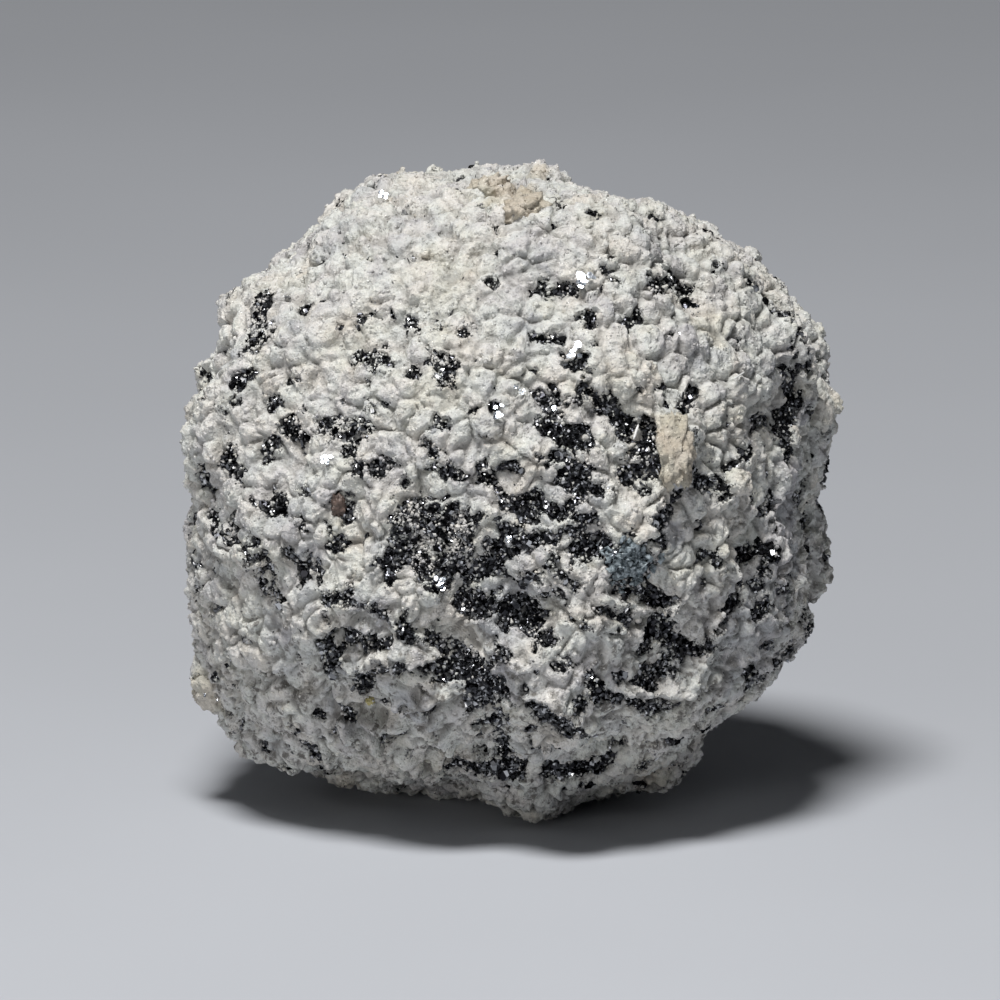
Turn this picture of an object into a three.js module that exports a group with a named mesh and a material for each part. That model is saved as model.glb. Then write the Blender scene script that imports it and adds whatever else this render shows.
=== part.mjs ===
// A hematite pseudomorph: one rounded crystal with the many-faced habit of a garnet, about 15 mm across.
// Black hematite has taken the first mineral's place, and a lumpy pale crust has grown over it and into it.
// The crust is missing in hollows, stands in low ledges, and carries a few larger grains as knobs.
// It grew as one piece, so it is one solid, and it rests on a small worn flat underneath.
// Millimetres, +Z up, +X to the right and +Y away from the shown side, with the origin under the middle.

import * as THREE from "three";
import { mergeVertices } from "three/addons/utils/BufferGeometryUtils.js";

// Driving dimensions
const MEAN_RADIUS = 7.5;
const TRAPEZOHEDRON_DISTANCE = 7.2;
const DODECAHEDRON_DISTANCE = 7.56;
const FACE_SHARPNESS = 19;
const REST_DEPTH = 7.15;
const SEEN_FROM_ABOVE = THREE.MathUtils.degToRad(12);
const SURFACE_DETAIL = 21;

// How the crystal's own axes lie in the specimen
const CRYSTAL_TURN = new THREE.Euler(0.42, 0.31, 0.2);

// Packed lumps of crust: the distance between lumps and how high they stand
const LUMP_LAYERS = [
  { pitch: 2.4, height: 0.3, seed: 11 },
  { pitch: 1.25, height: 0.3, seed: 29 },
];
const LUMP_ROUNDNESS = 1.6;
const LUMP_MEAN = 0.5;

// Where the crust is missing, how deep the hematite lies and how wide the hollow's slope is
const HOLLOW_DEPTH = 0.38;
const SLOPE = 0.52;
const EVEN_SHARE = 0.3;

// Hollows of the hidden sides: evenly spread starting places, and how long and wide each one is
const HIDDEN_PLACES = 104;
const HIDDEN_STEP = 0.13;
const HIDDEN_HALF_WIDTH = { least: 0.19, most: 0.38 };
const FACING_THE_EYE = 0.15;
const FACING_THE_GROUND = -0.9;

// Places on the shown side are given in millimetres to the right of and above its middle.
const EYE = new THREE.Vector3(0, -Math.cos(SEEN_FROM_ABOVE), Math.sin(SEEN_FROM_ABOVE));
const UPWARD = new THREE.Vector3(0, Math.sin(SEEN_FROM_ABOVE), Math.cos(SEEN_FROM_ABOVE));

// The direction from the middle of the specimen to a place on its shown side
function shown(right, up) {
  const towardEye = Math.sqrt(Math.max(MEAN_RADIUS ** 2 - right ** 2 - up ** 2, 0));
  return new THREE.Vector3(right, 0, 0)
    .addScaledVector(UPWARD, up)
    .addScaledVector(EYE, towardEye)
    .normalize();
}

// The direction to a place on the outline, counted anticlockwise from the right-hand side
function outline(degrees) {
  const angle = THREE.MathUtils.degToRad(degrees);
  return new THREE.Vector3(Math.cos(angle), 0, 0).addScaledVector(UPWARD, Math.sin(angle));
}

// Broad swellings and flats of the form, by the outline's degrees: how far they rise, and the angle over
// which each spreads along the outline. They run the same way toward the viewer and away.
const SWELLINGS = [
  { name: "upper right shoulder", at: 38, rise: 0.68, spread: 0.38 },
  { name: "shoulder's end", at: 25, rise: 0.3, spread: 0.12 },
  { name: "shoulder's crown", at: 61, rise: 0.14, spread: 0.1 },
  { name: "top", at: 71, rise: -0.4, spread: 0.13 },
  { name: "left of the peak", at: 99, rise: 0.2, spread: 0.09 },
  { name: "upper left shoulder", at: 117, rise: 0.54, spread: 0.24 },
  { name: "left cheek", at: 143, rise: 0.54, spread: 0.16 },
  { name: "left side", at: 174, rise: -0.58, spread: 0.24 },
  { name: "lower left corner", at: 221, rise: 1.16, spread: 0.27 },
  { name: "left foot", at: 236, rise: 0.26, spread: 0.07 },
  { name: "underside", at: 261, rise: -0.56, spread: 0.2 },
  { name: "lower right corner", at: 303, rise: 0.38, spread: 0.14 },
  { name: "lower right slope", at: 328, rise: 0.26, spread: 0.2 },
  { name: "right side", at: 357, rise: -0.44, spread: 0.2 },
];
const SWELLING_DEPTH = 0.6;

// The foot, and larger grains that stand proud of the crust
const KNOBS = [
  { name: "foot", at: new THREE.Vector3(0, 0, -1), rise: 0.42, spread: 0.42 },
  { name: "peak", at: outline(84), rise: 0.3, spread: 0.075 },
  { name: "lower left knob", at: outline(212), rise: 0.46, spread: 0.08 },
  { name: "lower left foot knob", at: outline(242), rise: 0.3, spread: 0.06 },
  { name: "front foot point", at: shown(0.55, -7.3), rise: 0.42, spread: 0.11 },
  { name: "lower right foot knob", at: outline(299), rise: 0.24, spread: 0.07 },
  { name: "right knob", at: outline(15), rise: 0.42, spread: 0.08 },
  { name: "tan block", at: shown(3.9, 0.95), rise: 0.3, spread: 0.08 },
  { name: "small tan lump", at: shown(5.45, 0.25), rise: 0.25, spread: 0.06 },
];

// A run of places on the shown side, with half its width
function shownRun(half, ...places) {
  return { half, run: places.map(([right, up]) => shown(right, up)) };
}

// Stretches of the shown side where the crust is missing
const SHOWN_HOLLOWS = [
  { name: "upper bar", ...shownRun(0.4, [1, 2], [1, 1.65], [1.4, 1.4], [1.7, 0.9], [1.6, 0.3], [2, 0.05]) },
  { name: "second bar", ...shownRun(0.33, [2.4, 1.85], [2.8, 1.5], [3.25, 1.25], [3.2, 0.55], [2.85, 0.4]) },
  { name: "diagonal", ...shownRun(0.4, [1.2, -0.3], [0.7, -0.5], [0.35, -1.1], [-0.35, -1.6], [-1, -1.9]) },
  { name: "peppered field", ...shownRun(0.6, [-1.9, -0.3], [-1.4, -0.85], [-2, -1.4]) },
  { name: "upper middle", ...shownRun(0.35, [0, 0.3]) },
  { name: "below the diagonal", ...shownRun(0.38, [-0.9, -2.5], [0.1, -2.8], [0.65, -3]) },
  { name: "right of the middle", ...shownRun(0.36, [1.45, -0.4], [2, -0.75], [1.9, -1.35]) },
  { name: "lower streak", ...shownRun(0.38, [-1.6, -3.4], [-0.9, -3.8], [-0.35, -4.4], [-0.1, -5.8]) },
  { name: "streak's foot", ...shownRun(0.3, [-1.3, -6.35], [-0.1, -6.25], [0.25, -6.4]) },
  { name: "right foot", ...shownRun(0.33, [1.05, -6.4], [1.6, -6.35], [2.25, -6.05]) },
  { name: "deep hole", ...shownRun(0.36, [1.1, -5.15]) },
  { name: "lower right", ...shownRun(0.34, [3.65, -3.25], [4.25, -3.5]) },
  { name: "lower right pit", ...shownRun(0.28, [3.4, -4.2]) },
  { name: "blue crystal's pit", ...shownRun(0.28, [2.95, -2.1], [3.5, -2.5]) },
  { name: "far right pit", ...shownRun(0.32, [5.9, -1.35]) },
  { name: "right edge", ...shownRun(0.3, [6, 1.6], [6.4, 1.7], [6.65, 2.3]) },
  { name: "upper right pit", ...shownRun(0.3, [3.8, 4.7], [4.25, 4.35]) },
  { name: "left arc", ...shownRun(0.28, [-3.8, -3.4], [-3.4, -3.15], [-3, -3.4]) },
  { name: "left arc's tail", ...shownRun(0.24, [-3.75, -3.8], [-3.2, -4.5]) },
  { name: "left edge", ...shownRun(0.24, [-6.8, 0.15], [-6.65, -0.3], [-6.3, -0.8]) },
  { name: "left pit", ...shownRun(0.26, [-5.2, -0.25]) },
  { name: "left lower pits", ...shownRun(0.28, [-5.3, -2.1], [-4.45, -1.9]) },
  { name: "left middle pit", ...shownRun(0.24, [-2.75, 0.55]) },
  { name: "left slit", ...shownRun(0.22, [-3.65, -0.25], [-3.75, -1.1]) },
];

// Low terraces and ribs of the crust on the shown side
const LEDGES = [
  { name: "upper terrace", rise: 0.2, ...shownRun(0.3, [-3.6, -2.9], [-2.6, -2.75], [-1.5, -3.1]) },
  { name: "middle terrace", rise: 0.22, ...shownRun(0.28, [-3, -4.3], [-2.2, -4.6], [-1.2, -5.2]) },
  { name: "lower terrace", rise: 0.2, ...shownRun(0.28, [-4.2, -5.1], [-3, -5.5], [-1.9, -6]) },
  { name: "right rib", rise: 0.18, ...shownRun(0.25, [5.2, -0.2], [5.3, -1.8], [4.7, -3.4], [3.9, -4.9]) },
  { name: "outer right rib", rise: 0.18, ...shownRun(0.25, [6.6, 0.4], [6.7, -1.2], [6.1, -3]) },
];

// The part of a number after its point
function fraction(number) {
  return number - Math.floor(number);
}

// Hollows of the sides, the back and the top, started evenly around a spiral and bent this way and that
function hiddenHollows() {
  const goldenTurn = Math.PI * (3 - Math.sqrt(5));
  const [halfSpread, bendSpread] = [Math.SQRT2, Math.sqrt(3)];
  const hollows = [];
  for (let i = 0; i < HIDDEN_PLACES; i++) {
    const height = 1 - (2 * i + 1) / HIDDEN_PLACES;
    const ring = Math.sqrt(1 - height ** 2);
    const turn = i * goldenTurn;
    const place = new THREE.Vector3(ring * Math.cos(turn), ring * Math.sin(turn), height);
    if (place.dot(EYE) > FACING_THE_EYE || height < FACING_THE_GROUND) continue;
    const run = [place];
    let heading = 2 * Math.PI * fraction(i * bendSpread);
    for (let step = 0; step < 2; step++) {
      const last = run.at(-1);
      const side = new THREE.Vector3(-Math.sin(turn), Math.cos(turn), 0);
      const along = side.clone().cross(last).normalize();
      run.push(
        last
          .clone()
          .addScaledVector(side, HIDDEN_STEP * Math.cos(heading))
          .addScaledVector(along, HIDDEN_STEP * Math.sin(heading))
          .normalize(),
      );
      heading += 2 * fraction(i * halfSpread) - 1;
    }
    const { least, most } = HIDDEN_HALF_WIDTH;
    hollows.push({ half: THREE.MathUtils.lerp(least, most, fraction(i * halfSpread)), run });
  }
  return hollows;
}

const HOLLOWS = [...SHOWN_HOLLOWS, ...hiddenHollows()];

// Every sign and order of three numbers, as unit vectors: the normals of one crystal form
function formNormals(a, b, c) {
  const normals = new Map();
  for (const [x, y, z] of [[a, b, c], [a, c, b], [b, a, c], [b, c, a], [c, a, b], [c, b, a]])
    for (const i of [1, -1])
      for (const j of [1, -1])
        for (const k of [1, -1]) {
          const normal = new THREE.Vector3(x * i + 0, y * j + 0, z * k + 0);
          normals.set(normal.toArray().join(), normal);
        }
  return [...normals.values()].map((normal) => normal.normalize().applyEuler(CRYSTAL_TURN));
}

const CRYSTAL_FACES = [
  ...formNormals(2, 1, 1).map((normal) => ({ normal, distance: TRAPEZOHEDRON_DISTANCE })),
  ...formNormals(1, 1, 0).map((normal) => ({ normal, distance: DODECAHEDRON_DISTANCE })),
];

// Distance from the middle to the worn crystal's surface, its edges rounded by a power mean
function crystalRadius(direction) {
  let sum = 0;
  for (const { normal, distance } of CRYSTAL_FACES)
    sum += (Math.max(normal.dot(direction), 0) / distance) ** FACE_SHARPNESS;
  return sum ** (-1 / FACE_SHARPNESS);
}

// A smooth round bump over the angle between two directions
function bump(direction, { at, rise, spread }) {
  return rise * Math.exp(-((direction.angleTo(at) / spread) ** 2));
}

// How far a swelling lifts the surface in a direction
function swelling(direction, { at, rise, spread }) {
  const turn = Math.atan2(direction.dot(UPWARD), direction.x) - THREE.MathUtils.degToRad(at);
  const aside = THREE.MathUtils.euclideanModulo(turn + Math.PI, 2 * Math.PI) - Math.PI;
  const toward = Math.asin(direction.dot(EYE));
  return rise * Math.exp(-((aside / spread) ** 2) - (toward / SWELLING_DEPTH) ** 2);
}

// A repeatable number from 0 to 1 for a cell of a grid, from large odd multipliers
function cellNumber(x, y, z, salt) {
  let hash = Math.imul(x, 0x165667b1) ^ Math.imul(y, 0x27d4eb2f) ^ Math.imul(z, 0x5bd1e995);
  hash = Math.imul(hash ^ Math.imul(salt, 0x4bf19f61), 0x85ebca6b);
  hash = Math.imul(hash ^ (hash >>> 15), 0xc2b2ae35);
  return ((hash ^ (hash >>> 16)) >>> 0) / 2 ** 32;
}

// Height of packed round lumps at a point: 1 on a lump's crown and about 0 between lumps
function lumpHeight(point, { pitch, seed }) {
  const [x, y, z] = [point.x / pitch, point.y / pitch, point.z / pitch];
  let nearest = Infinity;
  for (let i = Math.floor(x) - 1; i <= Math.floor(x) + 1; i++)
    for (let j = Math.floor(y) - 1; j <= Math.floor(y) + 1; j++)
      for (let k = Math.floor(z) - 1; k <= Math.floor(z) + 1; k++) {
        const [a, b, c] = [0, 1, 2].map((axis) => cellNumber(i, j, k, seed + axis));
        nearest = Math.min(nearest, (i + a - x) ** 2 + (j + b - y) ** 2 + (k + c - z) ** 2);
      }
  return 1 - LUMP_ROUNDNESS * nearest;
}

// Distance from a point of the surface to a run of directions taken out to that surface
function distanceToRun(point, run) {
  const corners = run.map((corner) => corner.clone().multiplyScalar(point.length()));
  const nearest = new THREE.Vector3();
  let least = point.distanceTo(corners[0]);
  for (let i = 1; i < corners.length; i++) {
    new THREE.Line3(corners[i - 1], corners[i]).closestPointToPoint(point, true, nearest);
    least = Math.min(least, point.distanceTo(nearest));
  }
  return least;
}

// 1 in the middle of a run, falling smoothly to 0 outside it
function besideRun(point, { run, half }) {
  return 1 - THREE.MathUtils.smoothstep(distanceToRun(point, run), half * EVEN_SHARE, half + SLOPE);
}

// Distance from the middle to the specimen's surface
function surfaceRadius(direction) {
  let radius = crystalRadius(direction);
  for (const place of SWELLINGS) radius += swelling(direction, place);
  for (const knob of KNOBS) radius += bump(direction, knob);
  const point = direction.clone().multiplyScalar(radius);
  for (const layer of LUMP_LAYERS) radius += layer.height * (lumpHeight(point, layer) - LUMP_MEAN);
  for (const ledge of LEDGES) radius += ledge.rise * besideRun(point, ledge);
  radius -= HOLLOW_DEPTH * Math.max(...HOLLOWS.map((hollow) => besideRun(point, hollow)));
  return direction.z < 0 ? Math.min(radius, REST_DEPTH / -direction.z) : radius;
}

// One closed surface: an evenly divided ball with every corner moved out to the specimen's surface
function specimenGeometry() {
  const ball = new THREE.IcosahedronGeometry(1, SURFACE_DETAIL);
  ball.deleteAttribute("normal");
  ball.deleteAttribute("uv");
  const surface = mergeVertices(ball);
  const corners = surface.getAttribute("position");
  const direction = new THREE.Vector3();
  for (let i = 0; i < corners.count; i++) {
    direction.fromBufferAttribute(corners, i).normalize();
    direction.multiplyScalar(surfaceRadius(direction));
    corners.setXYZ(i, direction.x, direction.y, direction.z);
  }
  surface.computeBoundingBox();
  const { min, max } = surface.boundingBox;
  surface.translate(-(min.x + max.x) / 2, -(min.y + max.y) / 2, -min.z);
  surface.computeVertexNormals();
  return surface;
}

const stone = new THREE.MeshStandardMaterial({ color: 0xd8d4cb, roughness: 0.9, metalness: 0 });
const pseudomorph = new THREE.Mesh(specimenGeometry(), stone);
pseudomorph.name = "pseudomorph";
const specimen = new THREE.Group();
specimen.add(pseudomorph);
export default specimen;
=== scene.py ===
"""Dresses the hematite pseudomorph: a rounded black crystal under a pale, grainy crust.

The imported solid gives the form, the hollows and the knobs. Its surface is divided finely and used twice.
Sunk a little, it is the body of hematite. Raised in packed clumps, it is the crust, which dips under the
hematite wherever a patch of crust is missing. Loose grains lie on the crust and small crystals stand in the
bare patches, with a few glinting plates and larger coloured grains where the photograph shows them.

Lengths are in millimetres, and places are counted from the specimen's middle. Meshes are made in metres.
"""

import itertools
import logging
import math
from dataclasses import dataclass, field, replace
from enum import Enum
from typing import Any

import bmesh
import bpy
import numpy as np
from mathutils import Matrix, Vector, noise
from mathutils.bvhtree import BVHTree


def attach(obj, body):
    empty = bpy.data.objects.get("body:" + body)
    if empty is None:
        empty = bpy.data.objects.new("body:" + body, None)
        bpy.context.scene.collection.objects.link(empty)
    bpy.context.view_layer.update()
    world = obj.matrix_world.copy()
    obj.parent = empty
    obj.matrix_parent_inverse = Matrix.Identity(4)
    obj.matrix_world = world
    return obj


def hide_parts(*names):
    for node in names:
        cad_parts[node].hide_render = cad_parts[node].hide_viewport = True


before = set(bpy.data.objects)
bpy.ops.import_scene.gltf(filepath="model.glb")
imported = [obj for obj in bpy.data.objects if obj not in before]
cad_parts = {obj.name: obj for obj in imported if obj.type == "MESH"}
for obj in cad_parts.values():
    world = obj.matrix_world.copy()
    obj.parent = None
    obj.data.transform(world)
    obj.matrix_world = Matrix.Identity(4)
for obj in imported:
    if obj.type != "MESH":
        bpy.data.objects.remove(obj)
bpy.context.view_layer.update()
NODE = "pseudomorph"
BODY = "root"

# The specimen and the side that the photograph shows
MM = 0.001
MIDDLE = Vector((-0.268, 0.028, 7.15))
RAISED = math.radians(12)
RIGHT = Vector((1, 0, 0))
UPWARD = Vector((0, math.sin(RAISED), math.cos(RAISED)))
EYE = Vector((0, -math.cos(RAISED), math.sin(RAISED)))

# Farther out than the specimen reaches
FAR_OUT = 30.0

# Stands in for a length of nothing, which can't be divided by
TINY = 1e-12

# The main light comes from the upper left, in front of the specimen, and a weak one from beside the viewer
LIGHT_SIDE = (RIGHT * -0.12 + UPWARD * 0.83 + EYE * 0.54).normalized()
FILL_SIDE = (RIGHT * -0.5 + UPWARD * -0.1 + EYE * 0.8).normalized()

# Whole numbers that scramble the cells of a grid
CELL_FACTORS = np.array((73856093, 19349663, 83492791), np.int64)
SCRAMBLE_STEP = np.uint64(0x9E3779B97F4A7C15)
SCRAMBLE_FACTOR = np.uint64(0xFF51AFD7ED558CCD)
SCRAMBLE_SHIFTS = (np.uint64(33), np.uint64(29))
UNUSED_BITS = np.uint64(11)
NUMBER_BITS = 53

# A Mix node names several of its inputs alike, so its share and its two colours go by number
MIX_INPUTS = (0, 6, 7)
MIX_OUTPUT = 2

Spot = tuple[float, float]
Colour = tuple[float, ...]
Value = bpy.types.NodeSocket | float | Colour

log = logging.getLogger("specimen")


class Slot(Enum):
    """The two finishes that the record names."""

    CRUST = "pale_crust"
    HEMATITE = "hematite"


class Ground(Enum):
    """What shows where the crust is missing, as how thickly pale dust lies there."""

    BARE = 0.04
    SPRINKLED = 0.7
    DUSTED = 1.9


class Profile(Enum):
    """How a ridge of crust stands: a ledge drops sharply at its lower side, and a rib is alike on both."""

    LEDGE = "ledge"
    RIB = "rib"


@dataclass(frozen=True)
class Patches:
    """Bare patches in one part of the shown side: half the width of each, then the places it runs through."""

    part: str
    runs: tuple[tuple[float | Spot, ...], ...]
    ground: Ground = Ground.BARE


@dataclass(frozen=True)
class Ridge:
    """A ridge of crust on the shown side, running from left to right or from top to bottom."""

    name: str
    rise: float
    width: float
    places: tuple[Spot, ...]
    profile: Profile = Profile.LEDGE


@dataclass(frozen=True)
class StainAndShade:
    """A place where the crust is warmer or greyer than the rest. The warm places are stains, and some grey
    places are painted shade.
    """

    name: str
    place: Spot
    radius: float
    tone: float


# Places are how far right of the middle and how far above it the photograph shows them.
PATCHES = (
    Patches("peppered shoulder", (
        (0.22, (-5.45, 4.6), (-5.65, 4.1), (-5.85, 3.3)),
        (0.16, (-5.4, 3.7)),
    ), Ground.DUSTED),
    Patches("peppered left", (
        (0.22, (-4.1, 1.4), (-3.2, 1.4)),
        (0.15, (-3.3, 3.05), (-2.65, 2.95)),
    ), Ground.DUSTED),
    Patches("peppered run", (
        (0.16, (-1.55, 3.0), (-1.3, 2.5)),
        (0.12, (-0.3, 0.35)),
    ), Ground.SPRINKLED),
    Patches("peppered field", (
        (0.5, (-2.0, -0.8), (-1.6, -1.5)),
        (0.3, (-1.1, -0.9), (-1.0, -1.6)),
    ), Ground.DUSTED),
    Patches("top", (
        (0.07, (-2.85, 7.1), (-2.7, 7.25), (-2.45, 7.3)),
        (0.05, (-4.5, 5.65), (-4.15, 5.95)),
        (0.07, (-0.55, 6.5)),
        (0.06, (-1.0, 6.35)),
        (0.05, (1.2, 6.65), (1.3, 6.5)),
        (0.08, (3.5, 6.25)),
        (0.05, (4.75, 5.95)),
        (0.06, (4.9, 5.2)),
        (0.07, (3.35, 4.9)),
        (0.07, (0.85, 4.7), (0.85, 4.55), (1.05, 4.45)),
        (0.05, (1.35, 4.55), (1.55, 4.65)),
        (0.11, (1.95, 4.0), (1.95, 3.75)),
        (0.05, (2.9, 3.8), (3.1, 3.95)),
        (0.14, (3.6, 4.65), (3.8, 4.8), (3.95, 4.7), (4.15, 4.55)),
        (0.05, (4.15, 4.35), (4.3, 4.25)),
        (0.05, (5.6, 4.8), (5.8, 4.65)),
        (0.07, (6.3, 4.15), (6.4, 4.05)),
        (0.09, (6.55, 4.05), (6.7, 3.8), (6.85, 3.65)),
    )),
    Patches("upper middle", (
        (0.09, (0.8, 3.5), (1.0, 3.45), (1.2, 3.45)),
        (0.05, (1.3, 3.15), (1.4, 3.0)),
        (0.06, (1.45, 2.85), (1.6, 2.9), (1.85, 3.05)),
        (0.07, (-3.2, 3.9)),
        (0.1, (-2.15, 3.8), (-2.05, 3.8)),
        (0.06, (-0.85, 3.6)),
        (0.05, (-1.75, 3.3)),
        (0.06, (-1.2, 3.0), (-1.1, 2.9)),
        (0.06, (-1.2, 2.75), (-1.25, 2.55), (-1.15, 2.35)),
        (0.07, (-2.15, 2.7), (-2.0, 2.65)),
        (0.08, (-5.8, 4.05), (-5.7, 3.95)),
    )),
    Patches("left", (
        (0.1, (-6.15, 2.6), (-5.85, 2.65)),
        (0.1, (-5.95, 2.6), (-6.05, 2.3)),
        (0.07, (-6.35, 1.95), (-6.0, 2.05)),
        (0.06, (-6.9, 2.6), (-6.85, 2.2)),
        (0.1, (-5.25, 2.0), (-5.1, 2.05)),
        (0.11, (-4.85, 1.55), (-4.8, 1.35)),
        (0.07, (-4.6, 1.2)),
        (0.07, (-5.0, 1.4), (-5.25, 1.15), (-5.3, 0.9)),
        (0.11, (-3.7, 1.25), (-3.5, 1.25)),
        (0.06, (-3.4, 1.35), (-3.2, 1.6)),
        (0.09, (-3.55, 0.95), (-3.4, 0.8), (-3.3, 0.5)),
        (0.14, (-2.9, 0.55), (-2.6, 0.6)),
        (0.11, (-2.75, 0.4)),
        (0.09, (-6.2, 0.85), (-6.3, 0.6), (-6.15, 0.5), (-6.0, 0.3)),
        (0.13, (-6.85, 0.2), (-6.75, 0.2)),
        (0.09, (-6.65, 0.0), (-6.6, -0.15)),
        (0.08, (-6.75, -0.5), (-6.5, -0.5)),
        (0.07, (-6.25, -0.6), (-6.15, -0.75)),
        (0.08, (-6.65, -0.85), (-6.4, -1.0), (-6.2, -1.1)),
        (0.1, (-5.4, -0.3), (-5.2, -0.45), (-5.0, -0.35), (-5.05, -0.2)),
        (0.06, (-5.7, -0.2), (-5.6, -0.2)),
        (0.06, (-4.65, -0.05), (-4.45, 0.05)),
        (0.07, (-4.7, -0.55)),
        (0.09, (-3.65, -0.2), (-3.55, -0.4), (-3.45, -0.6), (-3.6, -0.8)),
        (0.07, (-3.85, -0.95), (-3.7, -1.05), (-3.75, -1.25)),
        (0.08, (-5.7, -1.15), (-5.9, -1.35), (-5.8, -1.55), (-5.6, -1.6)),
        (0.06, (-4.9, -1.4), (-4.75, -1.55)),
        (0.08, (-5.4, -1.5), (-5.25, -1.85), (-5.2, -2.2), (-5.1, -2.5)),
        (0.09, (-5.5, -2.05), (-5.45, -2.2)),
        (0.1, (-4.6, -1.75), (-4.55, -2.05), (-4.6, -2.25)),
        (0.07, (-4.5, -1.75), (-4.25, -1.7), (-4.15, -1.95)),
        (0.08, (-4.15, -2.35), (-4.0, -2.55), (-3.75, -2.35)),
        (0.07, (-6.65, -2.65)),
    )),
    Patches("centre", (
        (0.08, (-1.7, 1.1), (-1.65, 0.9), (-1.6, 0.8)),
        (0.08, (-1.65, 0.4), (-1.55, 0.5)),
        (0.11, (-1.35, 0.4), (-1.05, 0.35)),
        (0.09, (-2.25, 0.2)),
        (0.09, (-2.3, -0.7), (-2.05, -0.75)),
        (0.1, (-1.75, -0.5), (-1.55, -0.4)),
        (0.11, (-1.75, -0.6), (-1.6, -1.05)),
        (0.11, (-2.1, -1.0)),
        (0.18, (-2.3, -1.25), (-2.3, -1.5), (-2.6, -1.65)),
        (0.07, (-2.6, -1.8), (-2.55, -2.05)),
        (0.15, (-2.05, -1.55), (-1.8, -1.8)),
        (0.09, (-1.55, -1.3), (-1.3, -1.05)),
        (0.09, (-1.45, -1.55), (-1.1, -1.45), (-0.8, -1.0)),
        (0.09, (-1.25, -0.45), (-1.1, -0.35)),
        (0.09, (-0.8, -0.6), (-0.5, -0.6)),
        (0.11, (-1.25, -1.8), (-0.95, -1.8)),
        (0.07, (-0.55, 0.55), (-0.4, 0.65)),
        (0.1, (-0.2, 0.45), (-0.15, 0.1)),
        (0.08, (0.1, 0.5), (0.25, 0.45)),
    )),
    Patches("diagonal", (
        (0.14, (0.25, -0.2), (0.6, -0.2), (0.55, -0.6)),
        (0.14, (0.6, -0.1), (0.95, -0.3), (1.3, -0.5), (1.65, -0.25), (1.85, 0.0)),
        (0.14, (0.4, -0.85), (0.1, -0.95), (-0.15, -1.3), (-0.2, -1.55), (-0.4, -1.8), (-0.75, -1.9)),
        (0.16, (0.4, -1.15), (0.85, -1.05)),
        (0.09, (0.85, -1.05), (1.25, -1.15)),
        (0.11, (0.05, -1.4), (0.2, -1.35)),
        (0.11, (-1.6, -2.2), (-1.45, -2.25), (-1.2, -2.1)),
    )),
    Patches("bars", (
        (0.06, (0.85, 2.15), (1.0, 1.9)),
        (0.05, (1.1, 2.25), (1.2, 2.05)),
        (0.1, (1.4, 2.1), (1.8, 2.05)),
        (0.09, (1.7, 2.2), (1.8, 2.35)),
        (0.11, (0.85, 1.55), (1.2, 1.45), (1.55, 1.35)),
        (0.09, (1.05, 1.65), (1.25, 1.7)),
        (0.09, (1.9, 1.4)),
        (0.1, (1.3, 1.1), (1.7, 1.1), (1.95, 1.05)),
        (0.14, (1.15, 0.8), (1.45, 0.75)),
        (0.18, (1.55, 0.55), (1.75, 0.35), (1.85, 0.15)),
        (0.11, (1.9, 0.1), (2.15, 0.05)),
        (0.09, (1.35, 0.25), (1.55, 0.1)),
        (0.11, (2.25, 1.95), (2.45, 1.8), (2.6, 1.6)),
        (0.18, (2.7, 1.5), (2.75, 1.35)),
        (0.09, (2.9, 1.2)),
        (0.18, (3.25, 1.4), (3.3, 1.15)),
        (0.14, (3.1, 1.0), (2.9, 0.8)),
        (0.14, (3.25, 0.85), (3.4, 0.7), (3.6, 0.65)),
        (0.16, (2.8, 0.35), (3.1, 0.45), (3.35, 0.4)),
        (0.11, (3.2, 0.05)),
        (0.16, (1.7, -0.65), (2.0, -0.6)),
        (0.11, (1.5, -0.9), (1.7, -1.0)),
        (0.18, (1.7, -1.3), (2.2, -1.3)),
        (0.07, (1.6, -1.55), (1.6, -1.75)),
    )),
    Patches("right of the bars", (
        (0.1, (3.65, 2.35), (3.7, 2.25)),
        (0.13, (4.3, 2.35), (4.2, 2.1), (4.15, 1.95)),
        (0.11, (4.35, 0.6), (4.35, 0.35), (4.55, 0.2), (4.9, 0.3)),
        (0.11, (4.95, 0.15), (5.15, 0.0), (4.95, -0.2)),
        (0.08, (5.2, 0.55), (5.45, 0.75), (5.65, 1.05)),
        (0.16, (3.5, -0.7), (3.7, -0.55)),
        (0.09, (3.6, -0.9), (3.65, -1.25)),
        (0.07, (3.9, -0.1), (4.05, 0.0)),
        (0.09, (3.25, -1.5)),
        (0.07, (3.4, -1.75)),
        (0.38, (2.75, -1.6), (3.0, -1.65)),
        (0.18, (2.95, -2.05), (2.85, -2.25)),
        (0.14, (3.1, -2.25), (3.45, -2.5)),
        (0.07, (3.65, -2.6), (3.9, -2.6)),
        (0.09, (2.3, -2.6), (2.55, -2.7)),
        (0.09, (2.75, -2.8), (2.95, -2.75)),
        (0.09, (4.9, -1.5), (4.95, -1.7)),
        (0.13, (5.35, -2.4), (5.1, -2.6), (5.0, -2.95)),
        (0.07, (4.6, -0.8)),
        (0.14, (5.55, -1.4)),
        (0.18, (5.9, -1.3), (6.2, -1.4)),
        (0.14, (5.95, -1.55), (5.9, -1.85)),
        (0.07, (5.8, -2.1)),
    )),
    Patches("right edge", (
        (0.09, (5.8, 1.6), (6.05, 1.7)),
        (0.16, (6.55, 2.25), (6.6, 1.95), (6.4, 1.7), (6.35, 1.4), (6.5, 1.15)),
        (0.14, (6.55, 2.0), (6.8, 2.0)),
        (0.09, (6.45, 0.75), (6.6, 0.95)),
        (0.1, (6.55, 2.65), (6.75, 2.65)),
        (0.14, (7.0, 2.7)),
        (0.09, (7.3, 2.65), (7.5, 2.55)),
        (0.09, (7.0, 1.8), (7.25, 1.55), (7.4, 1.35)),
        (0.07, (7.5, 0.5)),
        (0.11, (6.9, 0.25), (6.85, -0.1)),
        (0.08, (7.3, -0.25)),
        (0.07, (6.95, -0.7), (7.0, -1.1)),
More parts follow.
